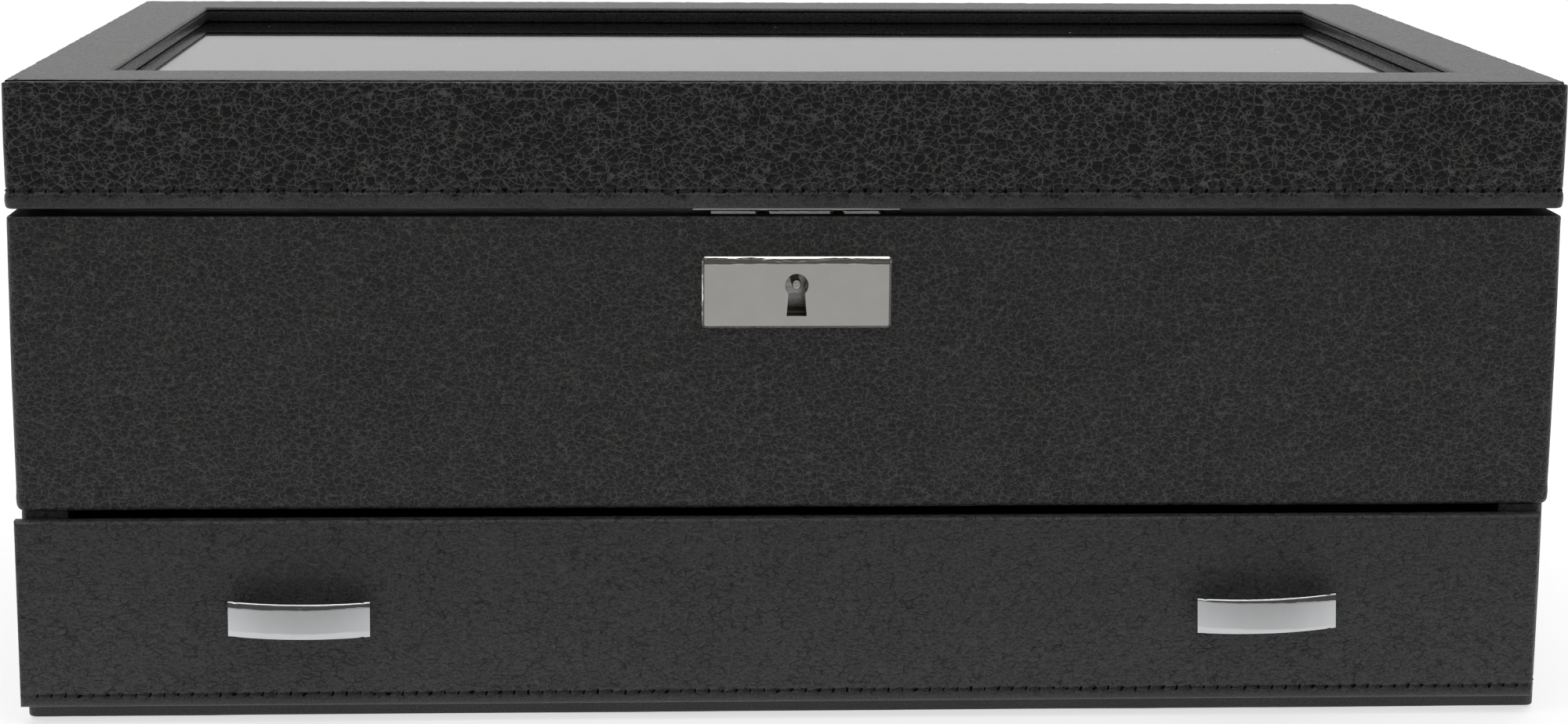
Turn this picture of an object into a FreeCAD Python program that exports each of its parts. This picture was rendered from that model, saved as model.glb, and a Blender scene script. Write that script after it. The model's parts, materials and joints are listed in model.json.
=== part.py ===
"""Leather-covered watch box: glazed hinged lid, twelve cushion cells, lock and a drawer below.

Frame: millimetres, +Z up, +X to the right when facing the lock, the front faces -Y.
The origin is the centre of the case's footprint on the surface it stands on.
Each function builds one sub-part and returns its shape; the table at the end names the nodes.
"""
import FreeCAD, Part
import math
import os

V = FreeCAD.Vector

# ---- driving dimensions of the case ------------------------------------------------------
WIDTH = 330.0            # outside width of the lid and of the upper case, along X
DEPTH = 210.0            # outside depth of the lid and of the upper case, along Y
HEIGHT = 138.0           # top of the lid above the table
LEATHER = 1.0            # cover leather
LINING = 1.0             # velour lining
LINING_LIP = 0.5         # how far a lining stands past or short of its wall's edge
WALL = 10.0              # wooden core of the case and lid walls
CORNER_R = 1.5           # rounding of the covered vertical corners
EDGE_R = 0.8             # rounding of the other covered edges
FIT = 0.1                # play round a piece that is let into another

LID_Z0 = 111.0           # underside of the lid
CASE_Z1 = 109.4          # top of the case rim
CASE_Z0 = 46.1           # lower lip of the upper case
DECK_T = 5.0             # board between the cells and the drawer bay
FLOOR_PAD_T = 1.5        # velour-covered card on the deck

HALF_X = WIDTH / 2
HALF_Y = DEPTH / 2
CORE_X = HALF_X - LEATHER
CORE_Y = HALF_Y - LEATHER
INNER_X = CORE_X - WALL
INNER_Y = CORE_Y - WALL
CELL_X = INNER_X - LINING
CELL_Y = INNER_Y - LINING
RIM_Z = CASE_Z1 - LEATHER
DECK_Z0 = CASE_Z0 + LEATHER
DECK_Z1 = DECK_Z0 + DECK_T
FLOOR_Z = DECK_Z1 + FLOOR_PAD_T

# ---- cells and cushions ------------------------------------------------------------------
CELLS_ACROSS = 6
DIVIDER_T = 3.0
DIVIDER_Z1 = 103.6
CELL_W = (2 * CELL_X - (CELLS_ACROSS - 1) * DIVIDER_T) / CELLS_ACROSS
CELL_D = CELL_Y - DIVIDER_T / 2
CUSHION_X = 45.0
CUSHION_Y = 82.0
CUSHION_Z = 45.0
CUSHION_R = 20.0
CUSHION_GAP = 0.3        # cushion above the floor pad
LAP_Z = (FLOOR_Z + DIVIDER_Z1) / 2
LAP_GAP = 0.05

# ---- lid ---------------------------------------------------------------------------------
FRAME_SIDE = 19.5        # visible top frame at the two sides
FRAME_FRONT = 22.0       # visible top frame at the front and the back
FLANGE_Z0 = 134.1
GLASS_T = 3.0
GLASS_LAP = 6.0
GLASS_CORNER_R = 2.0
RETAINER_T = 4.0
GLASS_X = HALF_X - FRAME_SIDE
GLASS_Y = HALF_Y - FRAME_FRONT
LID_CORE_Z0 = LID_Z0 + LEATHER
LID_CORE_Z1 = HEIGHT - LEATHER
BUMPER_INSET_X = 6.0     # soft pads on the rim, in from the case's sides
BUMPER_INSET_Y = 20.0
BUMPER_R = 3.0
BUMPER_H = 1.2

# ---- drawer bay --------------------------------------------------------------------------
BAY_X = 164.4            # half width outside the bay leather
BAY_FRONT = -103.5       # front edge of the covered bay walls
BAY_BACK = 104.4
BAY_WALL = 9.0
BASE_Z0 = 0.8            # underside of the covered base, held up by the felt
BASE_Z1 = 6.3
FELT_INSET = 6.0
TURN_IN = 12.0           # width of the leather turned under the base
GLIDE_T = 0.7
GLIDE_X0 = 138.0
GLIDE_X1 = 150.0
GLIDE_Y0 = -96.0
GLIDE_Y1 = 88.0
BAY_INNER_X = BAY_X - LEATHER - BAY_WALL

# ---- drawer ------------------------------------------------------------------------------
DRAWER_X = -1.2          # the drawer hangs a little left of the case's centre
DRAWER_HALF = 152.8
DRAWER_Z0 = 7.3
DRAWER_Z1 = 42.8
DRAWER_BACK = 85.0
DRAWER_BACK_T = 6.0
DRAWER_SIDE_T = 8.0
DRAWER_TRAVEL = 150.0
FACE_HALF = 164.2
FACE_Z0 = 3.3
FACE_Z1 = 44.3
FACE_Y = -107.0          # front of the drawer's leather face
LIP_BACK = -103.8        # back of the lip that covers the bay walls' edges
FRONT_BACK = -94.0       # inside of the drawer's front board
BOTTOM_Z0 = 9.3
BOTTOM_Z1 = 12.3
TAB_HALF = 15.0
TAB_Z1 = 45.5
STOP_LENGTH = 11.7
STOP_GAP = 0.3
STOP_OVERLAP = 2.0       # how far the tab reaches up behind the stop
DRAWER_DIVIDER_Z1 = 38.0

# ---- handles -----------------------------------------------------------------------------
HANDLE_X = 103.7         # from the drawer's centre
HANDLE_Z = 24.1
HANDLE_W = 30.0
HANDLE_H = 7.8
HANDLE_T = 1.6
HANDLE_EDGE_R = 0.4
HANDLE_TILT = {-1: -0.6, 1: 1.8}   # degrees, right end up; left and right handle
HANDLE_END = 5.5         # front of the strip above the leather, at the ends
HANDLE_MID = 8.1         # and in the middle
POST_X = 11.5
POST_R = 2.3
HANDLE_SCREW_R = 1.5
HANDLE_SCREW_BITE = 2.0  # how far each screw goes into its post
HANDLE_HEAD_R = 2.6
HANDLE_HEAD_H = 1.6

# ---- lock --------------------------------------------------------------------------------
LOCK_X = 0.9
PLATE_W = 40.2
PLATE_Z0 = 85.6
PLATE_Z1 = 100.9
PLATE_T = 1.2
PLATE_CORNER_R = 0.8
PLATE_CHAMFER = 0.5
KEY_Z = 94.8             # centre of the keyhole's round part
KEY_R = 2.5
KEY_FOOT_Z = 88.2
KEY_TOP_W = 3.3
KEY_FOOT_W = 4.3
KEY_MARGIN = 0.4         # the hole behind the plate is larger all round
LOCK_HALF = 18.0
LOCK_Z0 = 86.0
LOCK_Z1 = 109.1
LOCK_Y0 = -101.0
LOCK_Y1 = -94.2
LOCK_SHEET = 1.0
PIN_R = 1.0
PIN_TIP_R = 0.4
PIN_SHOW = 0.3           # how far the pin stands into the plate's thickness
BOLT_Y0 = -98.8
BOLT_Y1 = -96.8
LOOP_X = (-8.0, 8.0)     # left side of each strike loop, from the lock's centre
LOOP_T = 2.0
LOOP_Y0 = -99.6
LOOP_Y1 = -95.6
LOOP_Z0 = 100.4
PRONG_Z0 = 102.4
PRONG_Z1 = 104.6
BAR_Z0 = 97.9
BAR_Z1 = 99.9
BOLT_TRAVEL = 3.5
BOLT_GAP = 0.4           # prong tip to loop when unlocked
PRONG_ROOT = 2.8         # width of the upright part of each prong
TAIL_X0 = -4.0           # the tail that the key pushes, from the lock's centre
TAIL_X1 = -2.0
TAIL_H = 1.2
WINDOW_Y = 0.3           # play round the bolt inside each loop
WINDOW_Z = 0.4
SLOT_X = 0.5             # play round each loop in the lock case's top
SLOT_Y = 0.4
STRIKE_HALF = 22.0
STRIKE_Z0 = 110.5
STRIKE_Y0 = -102.5
STRIKE_Y1 = -94.5
STRIKE_SCREW_X = 18.5

# ---- hinges ------------------------------------------------------------------------------
HINGE_X = 95.0
HINGE_W = 40.0
HINGE_Y = 107.2
HINGE_Z = 110.2
KNUCKLES = 5
KNUCKLE_R = 2.0
KNUCKLE_GAP = 0.25
HINGE_PIN_R = 1.0
HINGE_BORE_R = 1.05
LEAF_T = 1.0
LEAF_GAP = 0.3           # leaf to the hinge's middle plane
LEAF_Y0 = 88.0
LEAF_END = 1.2           # the leaf's flat part stops this far before the pin's axis
KNUCKLE_CLEARANCE = 0.3
LOWER_LEAF_Z1 = HINGE_Z - LEAF_GAP
UPPER_LEAF_Z0 = HINGE_Z + LEAF_GAP
SCREW_R = 1.2
SCREW_HEAD_R = 2.2
SCREW_LENGTH = 8.0
SCREW_SPACING = 14.0
SCREW_INSET = 8.0        # hinge screws, from the leaf's edge
SCREW_CLEARANCE = 0.02

DOWN = V(0, 0, -1)
UP = V(0, 0, 1)


# ---- helpers -----------------------------------------------------------------------------
def box(x0, x1, y0, y1, z0, z1):
    return Part.makeBox(x1 - x0, y1 - y0, z1 - z0, V(x0, y0, z0))


def rounded_box(x0, x1, y0, y1, z0, z1, radius):
    """A box whose four upright edges are rounded."""
    solid = box(x0, x1, y0, y1, z0, z1)
    upright = [e for e in solid.Edges if abs(e.tangentAt(e.FirstParameter).z) > 0.9]
    return solid.makeFillet(radius, upright)


def ring(half_x, half_y, z0, z1, thickness, radius=0.0):
    """An upright rectangular band with its outside at half_x, half_y."""
    inside = box(-half_x + thickness, half_x - thickness, -half_y + thickness, half_y - thickness, z0, z1)
    if radius:
        return rounded_box(-half_x, half_x, -half_y, half_y, z0, z1, radius).cut(inside)
    return box(-half_x, half_x, -half_y, half_y, z0, z1).cut(inside)


def frame(outer_x, outer_y, inner_x, inner_y, z0, z1):
    """A flat rectangular frame."""
    outer = box(-outer_x, outer_x, -outer_y, outer_y, z0, z1)
    return outer.cut(box(-inner_x, inner_x, -inner_y, inner_y, z0, z1))


def rod(x, y, z, radius, length, direction):
    return Part.makeCylinder(radius, length, V(x, y, z), direction)


def mirrored(shape):
    """The shape and its mirror image about X = 0, as one group."""
    return Part.makeCompound([shape, shape.mirror(V(0, 0, 0), V(1, 0, 0))])


def screw(x, y, z, direction, hole=0.0):
    """A countersunk wood screw whose flat head is level with z and whose shank points along direction."""
    head_h = SCREW_HEAD_R - SCREW_R
    head = Part.makeCone(SCREW_HEAD_R + hole, SCREW_R + hole, head_h, V(x, y, z), direction)
    shank = rod(x, y, z, SCREW_R + hole, SCREW_LENGTH + hole, direction)
    return head.fuse(shank).removeSplitter()


def keyhole(y0, y1, grow=0.0):
    """The keyhole as a solid between y0 and y1, optionally larger all round."""
    length = y1 - y0
    x = LOCK_X
    eye = rod(x, y0, KEY_Z, KEY_R + grow, length, V(0, 1, 0))
    foot = KEY_FOOT_Z - grow
    top_half = KEY_TOP_W / 2 + grow
    foot_half = KEY_FOOT_W / 2 + grow
    corners = [
        V(x - top_half, y0, KEY_Z),
        V(x + top_half, y0, KEY_Z),
        V(x + foot_half, y0, foot),
        V(x - foot_half, y0, foot),
    ]
    slot = Part.Face(Part.makePolygon(corners + corners[:1])).extrude(V(0, length, 0))
    return eye.fuse(slot).removeSplitter()


# ---- screw places, shared by the screws and by what they pass through ---------------------
def hinge_screw_places():
    for side in (-1, 1):
        for step in (-1, 0, 1):
            yield side * HINGE_X + step * SCREW_SPACING, LEAF_Y0 + SCREW_INSET


def strike_screw_places():
    for side in (-1, 1):
        yield LOCK_X + side * STRIKE_SCREW_X, (STRIKE_Y0 + STRIKE_Y1) / 2


def case_screw_group(hole=0.0):
    return [screw(x, y, LOWER_LEAF_Z1, DOWN, hole) for x, y in hinge_screw_places()]


def lid_screw_group(hole=0.0):
    hinge = [screw(x, y, UPPER_LEAF_Z0, UP, hole) for x, y in hinge_screw_places()]
    strike = [screw(x, y, STRIKE_Z0, UP, hole) for x, y in strike_screw_places()]
    return hinge + strike


def cut_all(shape, tools):
    for tool in tools:
        shape = shape.cut(tool)
    return shape


# ---- case --------------------------------------------------------------------------------
def lock_pocket(clearance=FIT):
    """The mortise for the lock case, cut from the inside of the front wall and open at the rim."""
    return box(LOCK_X - LOCK_HALF - clearance, LOCK_X + LOCK_HALF + clearance, LOCK_Y0, -INNER_Y,
               LOCK_Z0 - clearance, CASE_Z1 + 1)


def case_front_wall():
    wall = box(-CORE_X, CORE_X, -CORE_Y, -INNER_Y, DECK_Z0, RIM_Z)
    return wall.cut(lock_pocket()).cut(keyhole(-CORE_Y, LOCK_Y0, KEY_MARGIN))


def case_back_wall():
    wall = box(-CORE_X, CORE_X, INNER_Y, CORE_Y, DECK_Z0, RIM_Z)
    return cut_all(wall, case_screw_group(SCREW_CLEARANCE))


def case_side_wall(side):
    x0, x1 = sorted((side * INNER_X, side * CORE_X))
    return box(x0, x1, -INNER_Y, INNER_Y, DECK_Z0, RIM_Z)


def case_deck():
    return box(-INNER_X, INNER_X, -INNER_Y, INNER_Y, DECK_Z0, DECK_Z1)


def leaf_recess(z0, z1):
    half = HINGE_W / 2 + FIT
    side = box(HINGE_X - half, HINGE_X + half, LEAF_Y0 - FIT, HALF_Y, z0, z1)
    return mirrored(side)


def case_leather():
    """The cover of the upper case, turned over the rim and under the front edge."""
    wrap = ring(HALF_X, HALF_Y, CASE_Z0, CASE_Z1, LEATHER, CORNER_R)
    over = frame(CORE_X, CORE_Y, INNER_X, INNER_Y, RIM_Z, CASE_Z1)
    under = box(-BAY_INNER_X, BAY_INNER_X, -CORE_Y, -INNER_Y, CASE_Z0, DECK_Z0)
    cover = wrap.fuse([over, under]).removeSplitter()
    cover = cover.cut(leaf_recess(LOWER_LEAF_Z1 - LEAF_T, CASE_Z1 + 1))
    cover = cut_all(cover, case_screw_group(SCREW_CLEARANCE))
    return cover.cut(lock_pocket(2 * FIT)).cut(keyhole(-HALF_Y, -CORE_Y, KEY_MARGIN))


def compartment_lining():
    return ring(INNER_X, INNER_Y, DECK_Z1, RIM_Z + LINING_LIP, LINING)


def floor_pad():
    return box(-CELL_X, CELL_X, -CELL_Y, CELL_Y, DECK_Z1, FLOOR_Z)


def cross_divider_x():
    pitch = CELL_W + DIVIDER_T
    return [-CELL_X + pitch * (i + 1) - DIVIDER_T / 2 for i in range(CELLS_ACROSS - 1)]


def long_divider():
    half = DIVIDER_T / 2
    board = box(-CELL_X, CELL_X, -half, half, FLOOR_Z, DIVIDER_Z1)
    slots = [box(x - half - LAP_GAP, x + half + LAP_GAP, -half, half, LAP_Z, DIVIDER_Z1)
             for x in cross_divider_x()]
    return cut_all(board, slots)


def cross_dividers():
    half = DIVIDER_T / 2
    boards = []
    for x in cross_divider_x():
        board = box(x - half, x + half, -CELL_Y, CELL_Y, FLOOR_Z, DIVIDER_Z1)
        boards.append(board.cut(box(x - half, x + half, -half - LAP_GAP, half + LAP_GAP, FLOOR_Z, LAP_Z)))
    return Part.makeCompound(boards)


def cushion(column, row):
    """One pillow, rounded round its long way so that a strap can wrap it; row is -1 in front, 1 behind."""
    x = -CELL_X + CELL_W / 2 + column * (CELL_W + DIVIDER_T)
    y = row * (DIVIDER_T / 2 + CELL_D / 2)
    z = FLOOR_Z + CUSHION_GAP
    block = box(x - CUSHION_X / 2, x + CUSHION_X / 2, y - CUSHION_Y / 2, y + CUSHION_Y / 2, z, z + CUSHION_Z)
    along_x = [e for e in block.Edges if abs(e.tangentAt(e.FirstParameter).x) > 0.9]
    return block.makeFillet(CUSHION_R, along_x)


def rim_bumpers():
    x = HALF_X - BUMPER_INSET_X
    y = HALF_Y - BUMPER_INSET_Y
    right = Part.makeCompound([rod(x, way * y, CASE_Z1, BUMPER_R, BUMPER_H, UP) for way in (-1, 1)])
    return mirrored(right)


# ---- drawer bay --------------------------------------------------------------------------
def bay_side_walls():
    x0 = BAY_INNER_X
    return mirrored(box(x0, x0 + BAY_WALL, BAY_FRONT + LEATHER, BAY_BACK - LEATHER, BASE_Z1, DECK_Z0))


def bay_back_wall():
    y1 = BAY_BACK - LEATHER
    return box(-BAY_INNER_X, BAY_INNER_X, y1 - BAY_WALL, y1, BASE_Z1, DECK_Z0)


def base_outline(z0, z1, inset):
    return box(-BAY_X + inset, BAY_X - inset, BAY_FRONT + inset, BAY_BACK - inset, z0, z1)


def base_panel():
    """The bottom board, with a rebate underneath for the leather that is turned in."""
    board = base_outline(BASE_Z0, BASE_Z1, LEATHER)
    rebate = base_outline(BASE_Z0, BASE_Z0 + LEATHER, LEATHER).cut(
        base_outline(BASE_Z0, BASE_Z0 + LEATHER, TURN_IN))
    return board.cut(rebate)


def bay_leather():
    """The cover of the bay: three outsides, the front edges and the strip turned under the base."""
    block = base_outline(BASE_Z0, CASE_Z0, 0)
    upright = [e for e in block.Edges if abs(e.tangentAt(e.FirstParameter).z) > 0.9]
    block = block.makeFillet(CORNER_R, upright)
    bottom = [e for e in block.Edges if e.BoundBox.ZMax < BASE_Z0 + 0.01]
    block = block.makeFillet(EDGE_R, bottom)
    cover = block.cut(base_outline(BASE_Z0 + LEATHER, CASE_Z0, LEATHER))
    cover = cover.cut(base_outline(BASE_Z0, BASE_Z0 + LEATHER, TURN_IN))
    mouth = box(-BAY_INNER_X, BAY_INNER_X, BAY_FRONT, BAY_FRONT + LEATHER, BASE_Z1, CASE_Z0)
    return cover.cut(mouth)


def base_felt():
    return base_outline(0, BASE_Z0, FELT_INSET)


def drawer_glides():
    return mirrored(box(GLIDE_X0, GLIDE_X1, GLIDE_Y0, GLIDE_Y1, BASE_Z1, BASE_Z1 + GLIDE_T))


def drawer_stop():
    """The block under the deck that the drawer's tab meets when it is pulled right out."""
    y1 = DRAWER_BACK - DRAWER_BACK_T - DRAWER_TRAVEL - STOP_GAP
    return box(DRAWER_X - TAB_HALF, DRAWER_X + TAB_HALF, y1 - STOP_LENGTH, y1, TAB_Z1 - STOP_OVERLAP, DECK_Z0)


# ---- lock --------------------------------------------------------------------------------
def lock_plate():
    half = PLATE_W / 2
    plate = box(LOCK_X - half, LOCK_X + half, -HALF_Y - PLATE_T, -HALF_Y, PLATE_Z0, PLATE_Z1)
    corners = [e for e in plate.Edges if abs(e.tangentAt(e.FirstParameter).y) > 0.9]
    plate = plate.makeFillet(PLATE_CORNER_R, corners)
    front = [e for e in plate.Edges if e.BoundBox.YMax < -HALF_Y - PLATE_T + 0.01]
    plate = plate.makeChamfer(PLATE_CHAMFER, front)
    return plate.cut(keyhole(-HALF_Y - PLATE_T, -HALF_Y))


def lock_case():
    """The sheet-metal body of the lock: an empty box with the keyhole and two slots for the loops."""
    s = LOCK_SHEET
    x0, x1 = LOCK_X - LOCK_HALF, LOCK_X + LOCK_HALF
    body = box(x0, x1, LOCK_Y0, LOCK_Y1, LOCK_Z0, LOCK_Z1)
    body = body.cut(box(x0 + s, x1 - s, LOCK_Y0 + s, LOCK_Y1 - s, LOCK_Z0 + s, LOCK_Z1 - s))
    body = body.cut(keyhole(LOCK_Y0, LOCK_Y0 + s))
    for left in LOOP_X:
        x = LOCK_X + left
        body = body.cut(box(x - SLOT_X, x + LOOP_T + SLOT_X, LOOP_Y0 - SLOT_Y, LOOP_Y1 + SLOT_Y,
                            LOCK_Z1 - s, LOCK_Z1))
    return body


def lock_drill_pin():
    """The pin that a barrel key turns on; its end shows in the keyhole."""
    start = LOCK_Y1 - LOCK_SHEET
    pin = rod(LOCK_X, start, KEY_Z, PIN_R, start + HALF_Y + PIN_SHOW, V(0, -1, 0))
    tip = [e for e in pin.Edges if e.BoundBox.YMax < -HALF_Y]
    return pin.makeFillet(PIN_TIP_R, tip)


def lock_bolt():
    """The sliding bolt: a bar with two prongs that pass through the strike's loops when locked."""
    prong = BOLT_TRAVEL + BOLT_GAP
    left_end = LOCK_X + LOOP_X[0] - BOLT_GAP - prong - PRONG_ROOT
    right_end = LOCK_X + LOOP_X[1] - BOLT_GAP - prong
    pieces = [box(left_end, right_end, BOLT_Y0, BOLT_Y1, BAR_Z0, BAR_Z1)]
    for left in LOOP_X:
        tip = LOCK_X + left - BOLT_GAP
        pieces.append(box(tip - prong - PRONG_ROOT, tip - prong, BOLT_Y0, BOLT_Y1, BAR_Z1, PRONG_Z1))
        pieces.append(box(tip - prong, tip, BOLT_Y0, BOLT_Y1, PRONG_Z0, PRONG_Z1))
    pieces.append(box(LOCK_X + TAIL_X0, LOCK_X + TAIL_X1, BOLT_Y0, BOLT_Y1, BAR_Z0 - TAIL_H, BAR_Z0))
    return pieces[0].fuse(pieces[1:]).removeSplitter()


def strike_plate():
    """The plate in the lid's rim with two loops that drop into the lock case."""
    plate = box(LOCK_X - STRIKE_HALF, LOCK_X + STRIKE_HALF, STRIKE_Y0, STRIKE_Y1, STRIKE_Z0, LID_CORE_Z0)
    loops = []
    for left in LOOP_X:
        x = LOCK_X + left
        loop = box(x, x + LOOP_T, LOOP_Y0, LOOP_Y1, LOOP_Z0, STRIKE_Z0)
        window = box(x, x + LOOP_T, BOLT_Y0 - WINDOW_Y, BOLT_Y1 + WINDOW_Y,
                     PRONG_Z0 - WINDOW_Z, PRONG_Z1 + WINDOW_Z)
        loops.append(loop.cut(window))
    strike = plate.fuse(loops).removeSplitter()
    return cut_all(strike, lid_screw_group(SCREW_CLEARANCE))


# ---- lid ---------------------------------------------------------------------------------
def lid_long_rail(side):
    """Front or back rail: an upright leg and a flange over the glass."""
    y0, y1 = sorted((side * INNER_Y, side * CORE_Y))
    leg = box(-CORE_X, CORE_X, y0, y1, LID_CORE_Z0, LID_CORE_Z1)
    edge = GLASS_Y + LEATHER
    f0, f1 = sorted((side * edge, side * INNER_Y))
    flange = box(-INNER_X, INNER_X, f0, f1, FLANGE_Z0, LID_CORE_Z1)
    return cut_all(leg.fuse(flange).removeSplitter(), lid_screw_group(SCREW_CLEARANCE))


def lid_short_rail(side):
    """Left or right rail, between the long ones."""
    x0, x1 = sorted((side * INNER_X, side * CORE_X))
    leg = box(x0, x1, -INNER_Y, INNER_Y, LID_CORE_Z0, LID_CORE_Z1)
    f0, f1 = sorted((side * (GLASS_X + LEATHER), side * INNER_X))
    flange = box(f0, f1, -GLASS_Y - LEATHER, GLASS_Y + LEATHER, FLANGE_Z0, LID_CORE_Z1)
    return leg.fuse(flange).removeSplitter()


def lid_side_leather():
    """The lid's outside wrap, turned in under the rim."""
    wrap = ring(HALF_X, HALF_Y, LID_Z0, LID_CORE_Z1, LEATHER, CORNER_R)
    under = frame(CORE_X, CORE_Y, INNER_X, INNER_Y, LID_Z0, LID_CORE_Z0)
    cover = wrap.fuse(under).removeSplitter()
    cover = cover.cut(leaf_recess(LID_Z0 - 1, UPPER_LEAF_Z0 + LEAF_T))
    strike_half = STRIKE_HALF + FIT
    cover = cover.cut(box(LOCK_X - strike_half, LOCK_X + strike_half, STRIKE_Y0 - FIT, -INNER_Y,
                          LID_Z0, LID_CORE_Z0))
    return cut_all(cover, lid_screw_group(SCREW_CLEARANCE))


def lid_top_leather():
    """The leather on the lid's top frame, turned down round the glass."""
    sheet = rounded_box(-HALF_X, HALF_X, -HALF_Y, HALF_Y, LID_CORE_Z1, HEIGHT, CORNER_R)
    edge = box(-GLASS_X - LEATHER, GLASS_X + LEATHER, -GLASS_Y - LEATHER, GLASS_Y + LEATHER,
               FLANGE_Z0, LID_CORE_Z1)
    hole = box(-GLASS_X, GLASS_X, -GLASS_Y, GLASS_Y, FLANGE_Z0, HEIGHT)
    return sheet.fuse(edge).removeSplitter().cut(hole)


def lid_glass():
    x = GLASS_X + GLASS_LAP
    y = GLASS_Y + GLASS_LAP
    return rounded_box(-x, x, -y, y, FLANGE_Z0 - GLASS_T, FLANGE_Z0, GLASS_CORNER_R)


def lid_glass_retainer():
    z1 = FLANGE_Z0 - GLASS_T
    return frame(CELL_X - FIT, CELL_Y - FIT, GLASS_X + LEATHER, GLASS_Y + LEATHER, z1 - RETAINER_T, z1)


def lid_lining():
    return ring(INNER_X, INNER_Y, LID_CORE_Z0 - LINING_LIP, FLANGE_Z0, LINING)


# ---- hinges ------------------------------------------------------------------------------
def hinge_leaf(upper):
    """One leaf of the right-hand hinge with its share of the knuckles."""
    x0 = HINGE_X - HINGE_W / 2
    step = HINGE_W / KNUCKLES
    if upper:
        z0 = UPPER_LEAF_Z0
    else:
        z0 = LOWER_LEAF_Z1 - LEAF_T
    leaf = box(x0, x0 + HINGE_W, LEAF_Y0, HINGE_Y - LEAF_END, z0, z0 + LEAF_T)
    own = [i for i in range(KNUCKLES) if (i % 2 == 1) == upper]
    other = [i for i in range(KNUCKLES) if (i % 2 == 1) != upper]
    for i in other:
        leaf = leaf.cut(rod(x0 + i * step - KNUCKLE_GAP, HINGE_Y, HINGE_Z, KNUCKLE_R + KNUCKLE_CLEARANCE,
                            step + 2 * KNUCKLE_GAP, V(1, 0, 0)))
    barrels = [rod(x0 + i * step, HINGE_Y, HINGE_Z, KNUCKLE_R, step, V(1, 0, 0)) for i in own]
    leaf = leaf.fuse(barrels).removeSplitter()
    leaf = leaf.cut(rod(x0, HINGE_Y, HINGE_Z, HINGE_BORE_R, HINGE_W, V(1, 0, 0)))
    for x, y in hinge_screw_places():
        if upper:
            leaf = leaf.cut(screw(x, y, z0, UP, SCREW_CLEARANCE))
        else:
            leaf = leaf.cut(screw(x, y, z0 + LEAF_T, DOWN, SCREW_CLEARANCE))
    return leaf


def trimmed_barrels(leaf, upper):
    """Shorten the moving knuckles so that they run clear of the fixed ones."""
    if not upper:
        return leaf
    x0 = HINGE_X - HINGE_W / 2
    step = HINGE_W / KNUCKLES
    reach = KNUCKLE_R + 1
    for i in range(KNUCKLES + 1):
        x = x0 + i * step
        leaf = leaf.cut(box(x - KNUCKLE_GAP, x + KNUCKLE_GAP, HINGE_Y - KNUCKLE_R - KNUCKLE_CLEARANCE,
                            HINGE_Y + reach, HINGE_Z - reach, HINGE_Z + reach))
    return leaf


def hinge_leaves(upper):
    return mirrored(trimmed_barrels(hinge_leaf(upper), upper))


def hinge_pins():
    return mirrored(rod(HINGE_X - HINGE_W / 2, HINGE_Y, HINGE_Z, HINGE_PIN_R, HINGE_W, V(1, 0, 0)))


# ---- drawer ------------------------------------------------------------------------------
def handle_centre(side):
    return V(DRAWER_X + side * HANDLE_X, FACE_Y, HANDLE_Z)


def handle_post_places(side):
    """Where the two posts of a handle meet the leather, following the handle's tilt."""
    tilt = math.radians(HANDLE_TILT[side])
    for way in (-1, 1):
        reach = way * POST_X
        yield handle_centre(side) + V(reach * math.cos(tilt), 0, reach * math.sin(tilt))


def handle_screw_group(hole=0.0):
    """Machine screws from inside the drawer into the handles' posts."""
    start = FRONT_BACK + LINING
    length = start - FACE_Y + HANDLE_SCREW_BITE + hole
    screws = []
    for side in (-1, 1):
        for post in handle_post_places(side):
            shank = rod(post.x, start, post.z, HANDLE_SCREW_R + hole, length, V(0, -1, 0))
            head = rod(post.x, start, post.z, HANDLE_HEAD_R, HANDLE_HEAD_H, V(0, 1, 0))
            screws.append(shank.fuse(head).removeSplitter())
    return screws


def drawer_front():
    """The front board with the thin lip that covers the bay walls' edges."""
    lip = box(DRAWER_X - FACE_HALF + LEATHER, DRAWER_X + FACE_HALF - LEATHER, FACE_Y + LEATHER, LIP_BACK,
              FACE_Z0 + LEATHER, FACE_Z1 - LEATHER)
    board = box(DRAWER_X - DRAWER_HALF, DRAWER_X + DRAWER_HALF, LIP_BACK, FRONT_BACK, DRAWER_Z0, DRAWER_Z1)
    return cut_all(lip.fuse(board).removeSplitter(), handle_screw_group(SCREW_CLEARANCE))


def drawer_face_leather():
    x0, x1 = DRAWER_X - FACE_HALF, DRAWER_X + FACE_HALF
    cover = box(x0, x1, FACE_Y, LIP_BACK, FACE_Z0, FACE_Z1)
    rounded = [e for e in cover.Edges if e.BoundBox.YMax < FACE_Y + 0.01]
    cover = cover.makeFillet(EDGE_R, rounded)
    core = box(x0 + LEATHER, x1 - LEATHER, FACE_Y + LEATHER, LIP_BACK, FACE_Z0 + LEATHER, FACE_Z1 - LEATHER)
    return cut_all(cover.cut(core), handle_screw_group(SCREW_CLEARANCE))


def drawer_side(side):
    x0, x1 = sorted((DRAWER_X + side * DRAWER_HALF, DRAWER_X + side * (DRAWER_HALF - DRAWER_SIDE_T)))
    return box(x0, x1, FRONT_BACK, DRAWER_BACK - DRAWER_BACK_T, DRAWER_Z0, DRAWER_Z1)


def drawer_back():
    """The back board with the tab that meets the stop."""
    y0 = DRAWER_BACK - DRAWER_BACK_T
    board = box(DRAWER_X - DRAWER_HALF, DRAWER_X + DRAWER_HALF, y0, DRAWER_BACK, DRAWER_Z0, DRAWER_Z1)
    tab = box(DRAWER_X - TAB_HALF, DRAWER_X + TAB_HALF, y0, DRAWER_BACK, DRAWER_Z1, TAB_Z1)
    return board.fuse(tab).removeSplitter()


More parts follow.
